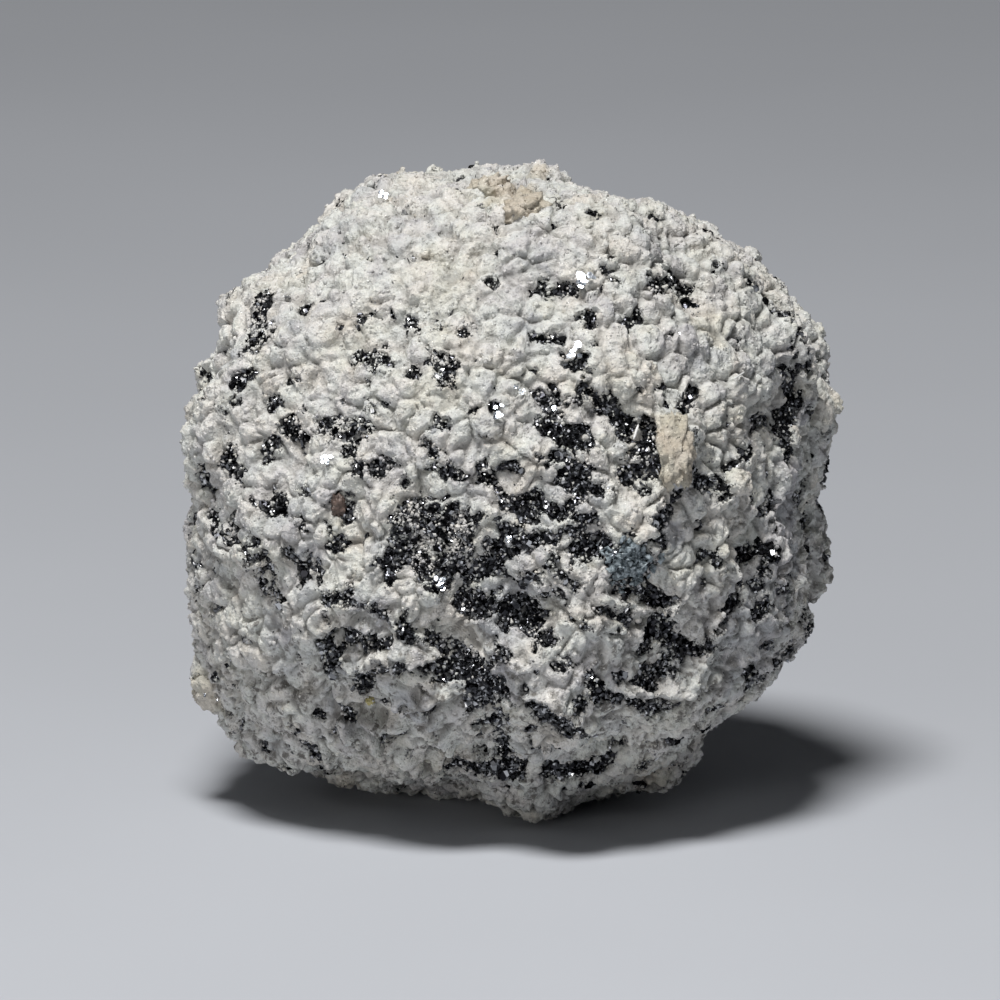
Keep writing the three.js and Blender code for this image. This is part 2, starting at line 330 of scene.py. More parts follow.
        (0.09, (6.65, -1.45)),
        (0.08, (6.15, -0.05)),
        (0.11, (5.95, -0.5), (6.2, -0.35)),
        (0.07, (5.7, -0.25)),
        (0.14, (5.85, -2.75), (6.0, -2.6)),
        (0.09, (6.5, -2.55), (6.5, -2.8)),
        (0.1, (6.4, -2.25), (6.55, -2.15)),
        (0.09, (7.05, -2.6)),
        (0.07, (6.05, -3.6)),
        (0.1, (6.55, -3.45), (6.55, -3.7)),
        (0.08, (6.45, -3.85), (6.25, -3.95)),
        (0.09, (5.65, -4.2), (5.8, -4.45), (6.0, -4.3)),
        (0.07, (5.0, -4.95), (5.2, -4.8)),
    )),
    Patches("below the centre", (
        (0.23, (-0.9, -2.55), (-0.3, -2.6)),
        (0.32, (0.1, -2.75), (0.55, -2.8)),
        (0.11, (0.95, -3.2), (1.05, -3.35)),
        (0.14, (0.4, -2.1), (0.65, -2.05)),
        (0.07, (0.85, -2.25), (0.9, -2.4)),
        (0.09, (1.0, -1.7), (1.1, -1.6)),
        (0.09, (1.35, -1.95), (1.65, -2.15)),
        (0.09, (1.3, -2.35)),
        (0.07, (1.85, -3.1)),
        (0.14, (1.3, -3.95), (1.45, -3.9)),
        (0.07, (0.75, -4.1)),
    )),
    Patches("lower left", (
        (0.16, (-3.95, -3.5), (-3.8, -3.6), (-3.9, -4.05)),
        (0.13, (-3.5, -3.35), (-3.3, -3.2), (-3.1, -3.4), (-2.9, -3.45)),
        (0.08, (-3.6, -3.9), (-3.4, -4.15), (-3.25, -4.3)),
        (0.13, (-3.2, -4.35), (-3.2, -4.55)),
        (0.07, (-3.5, -4.3), (-3.35, -4.35)),
        (0.09, (-3.2, -4.2), (-3.0, -4.05), (-2.75, -4.0)),
        (0.09, (-2.5, -4.1), (-2.3, -4.0)),
        (0.07, (-2.2, -4.05), (-1.95, -4.15)),
        (0.06, (-3.55, -2.6), (-2.95, -2.7)),
        (0.09, (-2.8, -2.85), (-2.55, -3.0), (-2.3, -3.0)),
        (0.13, (-2.3, -3.2), (-2.05, -3.35)),
        (0.11, (-3.5, -4.9), (-3.35, -5.15)),
        (0.11, (-2.6, -4.9), (-2.4, -4.9)),
        (0.07, (-2.25, -4.85)),
        (0.08, (-3.5, -5.7), (-3.3, -5.8)),
        (0.1, (-2.5, -6.0), (-2.25, -6.2)),
        (0.07, (-2.1, -6.25), (-1.95, -6.3)),
        (0.14, (-4.55, -5.8), (-4.35, -6.0), (-4.25, -6.2)),
        (0.07, (-5.55, -5.8), (-5.45, -5.95)),
        (0.09, (-5.15, -6.3), (-4.85, -6.45)),
        (0.07, (-4.65, -6.6), (-4.45, -6.6)),
        (0.07, (-6.5, -4.95)),
    )),
    Patches("streak", (
        (0.14, (-1.6, -3.35), (-1.2, -3.55)),
        (0.16, (-1.0, -3.6), (-0.85, -3.75)),
        (0.25, (-1.3, -4.05), (-0.75, -3.95)),
        (0.09, (-1.8, -4.0), (-1.6, -3.95)),
        (0.09, (-0.4, -4.0), (-0.05, -3.65)),
        (0.3, (-0.5, -4.35), (-0.5, -4.75)),
        (0.14, (-0.25, -4.55), (0.0, -4.65)),
        (0.18, (-0.5, -5.25), (-0.2, -5.25)),
        (0.14, (-0.25, -5.1), (0.0, -5.15)),
        (0.14, (0.0, -5.55), (0.0, -5.95)),
        (0.09, (-0.55, -5.8), (-0.35, -5.85)),
        (0.14, (-1.45, -6.4), (-0.95, -6.2)),
        (0.3, (-0.65, -6.35), (0.25, -6.35)),
        (0.07, (-0.85, -7.1)),
    )),
    Patches("lower right", (
        (0.25, (0.8, -4.95), (1.05, -5.2), (1.45, -5.45)),
        (0.08, (0.4, -5.45), (0.6, -5.45)),
        (0.1, (1.75, -4.85), (1.8, -5.0)),
        (0.07, (1.8, -5.6), (2.15, -5.6)),
        (0.21, (1.0, -6.25), (1.35, -6.4), (2.2, -6.3)),
        (0.18, (2.15, -6.05), (2.4, -6.15)),
        (0.11, (1.8, -6.75), (1.95, -6.75)),
        (0.1, (2.6, -5.75), (2.85, -5.75)),
        (0.16, (3.75, -5.7), (4.05, -5.7)),
        (0.1, (3.1, -4.8), (3.25, -5.05), (3.65, -5.0)),
        (0.11, (3.1, -6.4), (3.3, -6.25)),
        (0.07, (3.15, -6.8)),
        (0.08, (4.6, -5.5)),
        (0.18, (3.45, -3.1), (3.7, -3.25), (4.05, -3.5)),
        (0.14, (4.25, -3.55), (4.55, -3.55)),
        (0.18, (3.35, -3.2), (3.25, -3.45)),
        (0.11, (4.7, -3.5), (4.8, -3.7)),
        (0.16, (3.65, -3.95), (3.45, -4.15), (3.35, -4.45)),
        (0.09, (3.15, -4.2)),
        (0.09, (2.65, -4.25)),
        (0.14, (2.15, -4.6), (2.25, -4.75), (2.6, -4.7)),
        (0.07, (1.95, -4.15), (2.1, -4.4)),
    )),
)

RIDGES = (
    Ridge("arch", 0.32, 0.5, (
        (-3.65, -3.7), (-3.4, -4.0), (-3.2, -4.15), (-2.9, -3.95), (-2.0, -3.95), (-1.45, -3.75),
    )),
    Ridge("second shelf", 0.38, 0.45, (
        (-3.65, -4.7), (-3.45, -4.9), (-2.95, -5.35), (-2.8, -5.45), (-2.3, -5.4),
    )),
    Ridge("lower shelf", 0.38, 0.45, (
        (-1.65, -5.2), (-1.45, -5.4), (-1.05, -5.95), (-0.45, -6.05), (-0.3, -5.9),
    )),
    Ridge("foot ledge", 0.38, 0.45, (
        (-2.6, -5.65), (-2.05, -6.2), (-1.85, -6.35), (-1.55, -6.3), (-1.0, -6.1),
    )),
    Ridge("left foot ledge", 0.32, 0.4, ((-3.65, -5.45), (-3.1, -5.85), (-2.8, -5.95), (-2.55, -6.0))),
    Ridge("corner ledge", 0.2, 0.4, ((-4.15, -6.0), (-4.0, -6.2), (-3.65, -6.25))),
    Ridge("fan", 0.22, 0.35, ((-2.7, -4.6), (-2.2, -4.95), (-1.75, -4.95), (-1.3, -4.75))),
    Ridge("over the hole", 0.26, 0.4, ((0.6, -4.75), (1.0, -4.8), (1.5, -5.1), (2.0, -5.4))),
    Ridge("over the foot", 0.26, 0.45, (
        (0.75, -5.85), (1.4, -5.95), (2.3, -5.85), (2.9, -5.5), (4.4, -5.35),
    )),
    Ridge("right shelf", 0.24, 0.4, ((3.0, -4.7), (3.9, -4.75), (4.9, -4.2), (5.6, -3.8))),
    Ridge("middle shelf", 0.22, 0.4, ((2.2, -2.5), (3.1, -2.9), (3.7, -2.75))),
    Ridge("over the arch", 0.2, 0.35, ((-4.1, -3.3), (-3.7, -3.05), (-3.3, -3.05), (-2.8, -3.25))),
    Ridge("left rib", 0.18, 0.22, ((-5.3, -0.9), (-5.0, -1.6), (-4.9, -2.5)), Profile.RIB),
    Ridge("edge over the right hollow", 0.18, 0.2, ((3.35, -0.45), (3.45, -1.3)), Profile.RIB),
    Ridge("shelf's upright edge", 0.22, 0.2, ((6.3, 0.85), (6.4, 0.1), (6.2, -0.7)), Profile.RIB),
    Ridge("inner right rib", 0.18, 0.22, ((5.4, -0.6), (5.25, -1.9), (5.6, -3.3)), Profile.RIB),
    Ridge("outer right rib", 0.18, 0.22, ((6.75, -0.5), (6.8, -1.9), (6.25, -3.2)), Profile.RIB),
    Ridge("low right rib", 0.18, 0.22, ((4.9, -2.2), (4.9, -3.1), (4.4, -4.4)), Profile.RIB),
)

# The tone runs from 0, grey, over 0.5, cream white, to 1, tan.
STAINS_AND_SHADE = (
    StainAndShade("grains at the top", (0.2, 6.75), 0.8, 0.9),
    StainAndShade("peak", (0.75, 7.4), 0.35, 0.75),
    StainAndShade("left grains at the top", (-0.4, 7.0), 0.45, 0.85),
    StainAndShade("upper middle", (-1.3, 5.0), 1.2, 0.62),
    StainAndShade("left shoulder", (-3.5, 3.4), 0.8, 0.64),
    StainAndShade("centre", (-1.5, 2.2), 0.7, 0.66),
    StainAndShade("right of the spots", (3.0, 2.6), 0.9, 0.64),
    StainAndShade("upper right", (4.7, 3.8), 0.6, 0.7),
    StainAndShade("tan block", (3.85, 0.95), 0.4, 0.85),
    StainAndShade("tan block's upper left", (3.5, 1.5), 0.25, 0.8),
    StainAndShade("cream ball", (5.4, 0.2), 0.32, 0.72),
    StainAndShade("right knob", (7.45, 2.0), 0.5, 0.7),
    StainAndShade("left rib", (-5.05, -1.6), 0.4, 0.7),
    StainAndShade("corner knob", (-6.8, -4.6), 0.6, 0.82),
    StainAndShade("left foot knob", (-3.45, -6.8), 0.4, 0.8),
    StainAndShade("right foot knob", (3.4, -6.6), 0.55, 0.78),
    # Painted shade: the right hollow, the recess beside the right knob, the place below the middle, the right
    # side and the lower right side are greyed where they lie in shade. The terraces and the places beside the
    # streak and below the left middle are greyer patches below the middle.
    StainAndShade("right hollow", (3.75, -0.95), 0.3, 0.05),
    StainAndShade("terraces", (-2.1, -5.0), 0.8, 0.34),
    StainAndShade("recess beside the right knob", (6.9, 1.75), 0.4, 0.22),
    StainAndShade("below the middle", (0.0, -2.8), 0.8, 0.28),
    StainAndShade("left of the streak", (-3.0, -2.8), 0.6, 0.34),
    StainAndShade("right of the streak", (0.0, -4.3), 0.6, 0.34),
    StainAndShade("below the left middle", (-4.6, -1.2), 0.6, 0.42),
    StainAndShade("right side", (6.6, -0.6), 1.6, 0.31),
    StainAndShade("lower right side", (6.0, -3.2), 1.8, 0.34),
)


def ease(values: np.ndarray, start: float, end: float) -> np.ndarray:
    """Rises smoothly from 0 at the start to 1 at the end.

    Args:
        values: the numbers to judge.
        start: where the result is 0.
        end: where the result is 1. It may be less than the start.

    Returns:
        A number from 0 to 1 for each value.
    """
    share = np.clip((values - start) / (end - start), 0, 1)
    return share * share * (3 - 2 * share)


def cell_numbers(cells: np.ndarray, seed: int) -> np.ndarray:
    """Gives each cell of a grid three repeatable numbers from 0 to 1.

    Args:
        cells: the whole-number corner of each cell, one row each.
        seed: tells one set of numbers from another.

    Returns:
        Three numbers for each cell, one row each.
    """
    sums = (cells.astype(np.int64) * CELL_FACTORS).sum(axis=1).astype(np.uint64)
    salts = (np.arange(3) + 3 * seed).astype(np.uint64) * SCRAMBLE_STEP
    mixed = sums[:, None] + salts
    for shift in SCRAMBLE_SHIFTS:
        mixed = (mixed ^ (mixed >> shift)) * SCRAMBLE_FACTOR
    return (mixed >> UNUSED_BITS) / 2.0**NUMBER_BITS


def cloud(points: np.ndarray, size: float, seed: int, octaves: int = 3) -> np.ndarray:
    """Works out soft, cloudy noise.

    Args:
        points: places in millimetres, one row each.
        size: the size of the largest clouds.
        seed: tells one cloud from another.
        octaves: how many times finer clouds are added.

    Returns:
        About -1 to 1 for each point, and 0 on average.
    """
    shift = Vector(100 * cell_numbers(np.full((1, 3), seed), seed)[0])
    return np.array([noise.fractal(Vector(row) + shift, 1.0, 2.0, octaves) for row in points / size])


def random_turns(count: int, rng: np.random.Generator) -> np.ndarray:
    """Draws turns that are spread evenly over every direction.

    Args:
        count: how many to draw.
        rng: the source of random numbers.

    Returns:
        One 3 by 3 matrix for each turn.
    """
    w, x, y, z = np.moveaxis(rng.normal(size=(count, 4)), 1, 0)
    length = np.sqrt(w * w + x * x + y * y + z * z)
    w, x, y, z = w / length, x / length, y / length, z / length
    rows = (
        (1 - 2 * (y * y + z * z), 2 * (x * y - w * z), 2 * (x * z + w * y)),
        (2 * (x * y + w * z), 1 - 2 * (x * x + z * z), 2 * (y * z - w * x)),
        (2 * (x * z - w * y), 2 * (y * z + w * x), 1 - 2 * (x * x + y * y)),
    )
    return np.moveaxis(np.array(rows), 2, 0)


def above_rest(points: np.ndarray) -> np.ndarray:
    """Keeps points, counted from the middle, from going below the surface that the specimen rests on."""
    return np.column_stack((points[:, :2], np.maximum(points[:, 2], -MIDDLE.z)))


def to_metres(points: np.ndarray) -> np.ndarray:
    """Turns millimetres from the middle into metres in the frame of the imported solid."""
    return (points + np.array(MIDDLE)) * MM


def set_numbers(mesh: bpy.types.Mesh, **numbers: np.ndarray | float) -> None:
    """Writes numbers on each point of a mesh, for the finishes to read.

    Args:
        mesh: the mesh to write on.
        numbers: under each name, one number for each point, or one for them all.
    """
    for name, values in numbers.items():
        spread = np.broadcast_to(values, len(mesh.vertices)).astype(np.float32)
        mesh.attributes.new(name, "FLOAT", "POINT").data.foreach_set("value", spread)


def triangles(shape: bmesh.types.BMesh) -> tuple[np.ndarray, np.ndarray]:
    """Splits a shape into triangles and reads them.

    Args:
        shape: the shape.

    Returns:
        Its points, and the three points of each of its triangles.
    """
    bmesh.ops.triangulate(shape, faces=shape.faces)
    shape.verts.index_update()
    points = np.array([vert.co for vert in shape.verts])
    return points, np.array([[vert.index for vert in face.verts] for face in shape.faces])


def finished(name: str, shape: bmesh.types.BMesh) -> bpy.types.Mesh:
    """Turns a shape into a mesh, and lets go of the shape.

    Args:
        name: the mesh's name.
        shape: the shape.

    Returns:
        The mesh.
    """
    mesh = bpy.data.meshes.new(name)
    shape.to_mesh(mesh)
    shape.free()
    return mesh


def turn_toward(facing: Vector) -> Matrix:
    """Works out the turn that points a shape's Z axis one way and keeps its Y axis as far up as it can.

    Args:
        facing: the way that the Z axis is to point.

    Returns:
        The turn.
    """
    upward = (UPWARD - facing * UPWARD.dot(facing)).normalized()
    return Matrix((upward.cross(facing), upward, facing)).transposed()


@dataclass(frozen=True)
class Packing:
    """Lumps packed side by side, one to each cell of a grid, at a random place in its cell."""

    pitch: float
    seed: int

    def nearest(self, points: np.ndarray) -> tuple[np.ndarray, np.ndarray, np.ndarray]:
        """Finds the lumps about each point.

        Args:
            points: places in millimetres, one row each.

        Returns:
            The distances to the nearest lump and to the next, in pitches, and the nearest lump's own
            number from 0 to 1.
        """
        scaled = points / self.pitch
        home = np.floor(scaled).astype(np.int64)
        first = np.full(len(points), np.inf)
        second = first.copy()
        number = np.zeros(len(points))
        for step in itertools.product((-1, 0, 1), repeat=3):
            drawn = cell_numbers(home + step, self.seed)
            gap = np.linalg.norm(home + step + drawn - scaled, axis=1)
            closer = gap < first
            second = np.where(closer, first, np.minimum(second, gap))
            number = np.where(closer, (drawn.sum(axis=1) * 7.0) % 1.0, number)
            first = np.where(closer, gap, first)
        return first, second, number


@dataclass(frozen=True)
class Route:
    """A run of places on the specimen's surface, with straight stretches between them."""

    corners: np.ndarray

    def gaps(self, points: np.ndarray) -> tuple[np.ndarray, np.ndarray]:
        """Measures how points lie to the run.

        Args:
            points: places in millimetres, one row each.

        Returns:
            The distance to the run, and how far up the surface each point is from it, taking the run to
            go to the right as seen from outside.
        """
        least = np.linalg.norm(points - self.corners[0], axis=1)
        above = np.zeros(len(points))
        for start, end in zip(self.corners, self.corners[1:]):
            along = end - start
            share = np.clip((points - start) @ along / (along @ along), 0, 1)
            gap = points - start - share[:, None] * along
            upward = np.cross(start + end, along)
            distance = np.linalg.norm(gap, axis=1)
            closer = distance <= least
            above = np.where(closer, gap @ (upward / np.linalg.norm(upward)), above)
            least = np.where(closer, distance, least)
        return least, above


@dataclass
class Surface:
    """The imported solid's surface, merged, divided finely and worn smooth.

    Each edge is cut a number of times, and the smoothing goes over the surface in rounds.
    """

    node: bpy.types.Object
    cuts: int
    rounds: int
    weld: float = 1e-6
    tree: BVHTree = field(init=False)
    points: np.ndarray = field(init=False)
    outward: np.ndarray = field(init=False)
    corners: np.ndarray = field(init=False)

    def __post_init__(self) -> None:
        """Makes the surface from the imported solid's mesh."""
        shell = bmesh.new()
        shell.from_mesh(self.node.data)
        bmesh.ops.remove_doubles(shell, verts=shell.verts, dist=self.weld)
        bmesh.ops.subdivide_edges(shell, edges=shell.edges, cuts=self.cuts, use_grid_fill=True)
        for _ in range(self.rounds):
            bmesh.ops.smooth_vert(
                shell, verts=shell.verts, factor=0.5, use_axis_x=True, use_axis_y=True, use_axis_z=True
            )
        points, self.corners = triangles(shell)
        self.points = points / MM - np.array(MIDDLE)
        shell.normal_update()
        self.tree = BVHTree.FromBMesh(shell)
        self.outward = np.array([vert.normal for vert in shell.verts])
        shell.free()

    def shown(self, right: float, up: float) -> tuple[Vector, Vector]:
        """Finds a place of the shown side on the surface.

        Args:
            right: how far right of the middle the photograph shows it.
            up: how far above the middle.

        Returns:
            The place, counted from the middle, and the way that the surface faces there.
        """
        beside = MIDDLE + RIGHT * right + UPWARD * up
        hit, facing, _, _ = self.tree.ray_cast((beside + EYE * FAR_OUT) * MM, -EYE)
        if hit is None:
            hit, facing, _, _ = self.tree.find_nearest(beside * MM)
        return hit / MM - MIDDLE, facing

    def toward(self, direction: Vector) -> Vector:
        """Finds where a line from the middle comes out of the surface."""
        hit, _, _, _ = self.tree.ray_cast((MIDDLE + direction * FAR_OUT) * MM, -direction)
        return hit / MM - MIDDLE

    def shown_route(self, places: tuple[Spot, ...]) -> Route:
        """Lays a run of places of the shown side on the surface."""
        return Route(np.array([self.shown(*place)[0] for place in places]))


@dataclass
class Skin:
    """The triangles of a finished surface, on which grains are set."""

    points: np.ndarray
    corners: np.ndarray
    facing: np.ndarray = field(init=False)
    areas: np.ndarray = field(init=False)

    def __post_init__(self) -> None:
        """Measures the triangles."""
        first, second, third = (self.points[self.corners[:, i]] for i in range(3))
        crossed = np.cross(second - first, third - first)
        length = np.linalg.norm(crossed, axis=1)
        self.facing = crossed / np.maximum(length, TINY)[:, None]
        self.areas = length / 2

    def point_facing(self) -> np.ndarray:
        """Works out the way that the surface faces at each of its points.

        Returns:
            One direction for each point.
        """
        pull = self.facing * self.areas[:, None]
        total = np.stack(
            [
                sum(np.bincount(self.corners[:, i], pull[:, axis], len(self.points)) for i in range(3))
                for axis in range(3)
            ],
            axis=1,
        )
        return total / np.maximum(np.linalg.norm(total, axis=1), TINY)[:, None]

    def scatter(
        self, weights: np.ndarray, count: int, rng: np.random.Generator
    ) -> tuple[np.ndarray, np.ndarray, np.ndarray]:
        """Picks places all over the surface.

        Args:
            weights: how thickly places are set about each point of the surface.
            count: how many places to pick.
            rng: the source of random numbers.

        Returns:
            The places, the way that the surface faces at each, and the number of a point beside each.
        """
        chances = self.areas * weights[self.corners].mean(axis=1)
        chosen = rng.choice(len(chances), size=count, p=chances / chances.sum())
        shares = rng.dirichlet((1, 1, 1), size=count)
        places = np.einsum("gc,gcx->gx", shares, self.points[self.corners[chosen]])
        beside = self.corners[chosen, shares.argmax(axis=1)]
        return places, self.facing[chosen], beside

    def mesh(self, name: str, kept: np.ndarray, numbers: dict[str, np.ndarray]) -> bpy.types.Mesh:
        """Makes a smooth mesh of some of the triangles, shaded as a part of the whole surface.

        Args:
            name: the mesh's name.
            kept: for each triangle, whether it is in the mesh.
            numbers: the numbers that the finish reads, one for each point of the whole surface.

        Returns:
            The mesh.
        """
        used, corners = np.unique(self.corners[kept], return_inverse=True)
        mesh = bpy.data.meshes.new(name)
        mesh.from_pydata(to_metres(self.points[used]), [], corners.reshape(-1, 3))
        mesh.shade_smooth()
        mesh.normals_split_custom_set_from_vertices(self.point_facing()[used])
        set_numbers(mesh, **{key: values[used] for key, values in numbers.items()})
        return mesh


class Habit(Enum):
    """The shapes of small grains and crystals."""

    ROUND = "round"
    BLOCK = "block"
    POINTED = "pointed"
    PLATE = "plate"

    def shape(self) -> tuple[np.ndarray, np.ndarray]:
        """Makes one grain, about 1 in radius.

        Returns:
            Its points, and the three points of each of its triangles.
        """
        grain = bmesh.new()
        if self is Habit.ROUND:
            bmesh.ops.create_icosphere(grain, subdivisions=1, radius=1.0)
        elif self is Habit.BLOCK:
            bmesh.ops.create_cube(grain, size=1.5)
        elif self is Habit.POINTED:
            bmesh.ops.create_uvsphere(grain, u_segments=4, v_segments=2, radius=1.1)
        else:
            bmesh.ops.create_cone(grain, cap_ends=True, segments=6, radius1=1.2, radius2=1.05, depth=0.45)
        arrays = triangles(grain)
        grain.free()
        return arrays


@dataclass(frozen=True)
class GrainKind:
    """A kind of small grain: its shape, its radii, and how far it stands out of the surface."""

    habit: Habit
    least: float
    most: float
    proud: float = 0.25
    stretch: float = 0.3
    wobble: float = 0.18

    def mesh(
        self, name: str, places: np.ndarray, facing: np.ndarray, rng: np.random.Generator
    ) -> bpy.types.Mesh:
        """Joins one grain for each place in a single mesh.

        Args:
            name: the mesh's name.
            places: where the grains lie, counted from the middle.
            facing: the way that the surface faces under each.
            rng: the source of random numbers.

        Returns:
            The joined mesh.
        """
        points, corners = self.habit.shape()
        count = len(places)
        radii = self.least + (self.most - self.least) * rng.random(count) ** 2
        stretched = points * rng.uniform(1 - self.stretch, 1 + self.stretch, (count, 1, 3))
        shaped = stretched * rng.uniform(1 - self.wobble, 1 + self.wobble, (count, len(points), 1))
        turned = np.einsum("gij,gvj->gvi", random_turns(count, rng), shaped * radii[:, None, None])
        centres = places + facing * (radii * self.proud)[:, None]
        placed = above_rest((turned + centres[:, None]).reshape(-1, 3))
        faces = (corners + len(points) * np.arange(count)[:, None, None]).reshape(-1, 3)
        mesh = bpy.data.meshes.new(name)
        mesh.from_pydata(to_metres(placed), [], faces)
        return mesh

    def for_each_point(self, numbers: np.ndarray) -> np.ndarray:
        """Repeats one number for each grain over all of that grain's points."""
        return np.repeat(numbers, len(self.habit.shape()[0]))


class Nodes:
    """A material's nodes, with short ways to add and join them."""

    def __init__(self, name: str) -> None:
        """Starts a material with the usual surface shader and the places on the piece.

        Args:
            name: the material's name.
        """
        self.material = bpy.data.materials.new(name)
        self.material.use_nodes = True
        self.tree = self.material.node_tree
        self.shader = self.tree.nodes["Principled BSDF"]
        self.place = self.add("TexCoord", {}).outputs["Object"]

    def put(self, socket: bpy.types.NodeSocket, value: Value) -> None:
        """Joins a socket to another, or gives it a value of its own.

        Args:
            socket: the socket.
            value: another node's output, or a number or a colour.
        """
        if isinstance(value, bpy.types.NodeSocket):
            self.tree.links.new(value, socket)
        else:
            socket.default_value = value

    def surface(self, name: str, value: Value) -> None:
        """Joins one of the surface shader's inputs, or gives it a value of its own."""
        self.put(self.shader.inputs[name], value)

    def add(self, kind: str, inputs: dict[str | int, Value], **settings: Any) -> bpy.types.Node:
        """Adds a node.

        Args:
            kind: the kind of shader node.
            inputs: a value, or a socket to join, for each of its inputs by name or number.
            settings: the node's own settings.

        Returns:
            The new node.
        """
        node = self.tree.nodes.new("ShaderNode" + kind)
        for name, value in settings.items():
            setattr(node, name, value)
        for key, value in inputs.items():
            self.put(node.inputs[key], value)
        return node

    def number(self, name: str) -> bpy.types.NodeSocket:
        """Reads the numbers that a mesh holds under a name."""
        return self.add("Attribute", {}, attribute_name=name).outputs["Fac"]

    def sum(self, operation: str, first: Value, second: Value) -> bpy.types.NodeSocket:
        """Works out a sum, product or other result of two numbers."""
        return self.add("Math", {0: first, 1: second}, operation=operation).outputs[0]

    def span(self, value: Value, start: float, end: float, low: float, high: float) -> bpy.types.NodeSocket:
        """Moves numbers between the start and the end to the span from low to high."""
        inputs = {"Value": value, "From Min": start, "From Max": end, "To Min": low, "To Max": high}
        return self.add("MapRange", inputs).outputs["Result"]

    def blend(self, share: Value, first: Value, second: Value, mode: str = "MIX") -> bpy.types.NodeSocket:
        """Blends two colours.

        Args:
            share: how much of the second there is, from 0 to 1.
            first: the first colour.
            second: the second colour.
            mode: how they are blended.

        Returns:
            The blended colour.
        """
        node = self.add("Mix", {}, data_type="RGBA", blend_type=mode)
        for index, value in zip(MIX_INPUTS, (share, first, second)):
            self.put(node.inputs[index], value)
        return node.outputs[MIX_OUTPUT]

    def channels(self, colour: Value) -> bpy.types.NodeOutputs:
        """Splits a colour into its red, green and blue."""
        return self.add("SeparateColor", {0: colour}).outputs

    def scaled(self, colour: Value, factor: Value) -> bpy.types.NodeSocket:
        """Makes a colour or a direction longer or shorter by a factor."""
        return self.add("VectorMath", {0: colour, "Scale": factor}, operation="SCALE").outputs[0]

    def ramp(self, share: Value, stops: tuple[tuple[float, Colour], ...]) -> bpy.types.NodeSocket:
        """Runs through colours.

        Args:
            share: how far along the run, from 0 to 1.
            stops: where each colour stands on the run, and the colour.

        Returns:
            The colour.
        """
        node = self.add("ValToRGB", {0: share})
        stretch = node.color_ramp.elements
        for _ in stops[2:]:
            stretch.new(1.0)
        for element, (place, colour) in zip(stretch, stops):
            element.position = place
            element.color = (*colour, 1.0)
        return node.outputs["Color"]

    def cells(self, size: float) -> bpy.types.NodeSocket:
        """Divides space into cells of about a size, each with a random colour."""
        return self.add("TexVoronoi", {"Vector": self.place, "Scale": 1 / (size * MM)}).outputs["Color"]

    def clouds(self, size: float, detail: float = 3.0, roughness: float = 0.5) -> bpy.types.NodeSocket:
        """Makes cloudy noise of about a size."""
        inputs = {"Vector": self.place, "Scale": 1 / (size * MM), "Detail": detail, "Roughness": roughness}
        return self.add("TexNoise", inputs).outputs["Fac"]

    def leaning(self, outward: Value, crystals: Value, tilt: float) -> bpy.types.NodeSocket:
        """Leans each small crystal its own way.

        Args:
            outward: the way that the surface faces.
            crystals: the random colour of each crystal.
            tilt: how far they lean.

        Returns:
            The way that each crystal faces.
        """
        from_grey = {0: crystals, 1: (0.5, 0.5, 0.5)}
        lean = self.scaled(self.add("VectorMath", from_grey, operation="SUBTRACT").outputs[0], tilt)
        leant = self.add("VectorMath", {0: outward, 1: lean}).outputs[0]
        return self.add("VectorMath", {0: leant}, operation="NORMALIZE").outputs[0]

    def bump(
        self,
        height: Value,
        depth: float,
        strength: float = 1.0,
        under: Value | None = None,
    ) -> bpy.types.NodeSocket:
        """Raises the surface by a pattern.

        Args:
            height: the pattern, from 0 to 1.
            depth: how far its highest places stand above its lowest.
            strength: how much of it shows.
            under: the way that the surface faces already, where another pattern raises it first.

        Returns:
            The way that the raised surface faces.
        """
        inputs = {"Strength": strength, "Distance": depth * MM, "Height": height}
        if under is not None:
            inputs["Normal"] = under
        return self.add("Bump", inputs).outputs["Normal"]


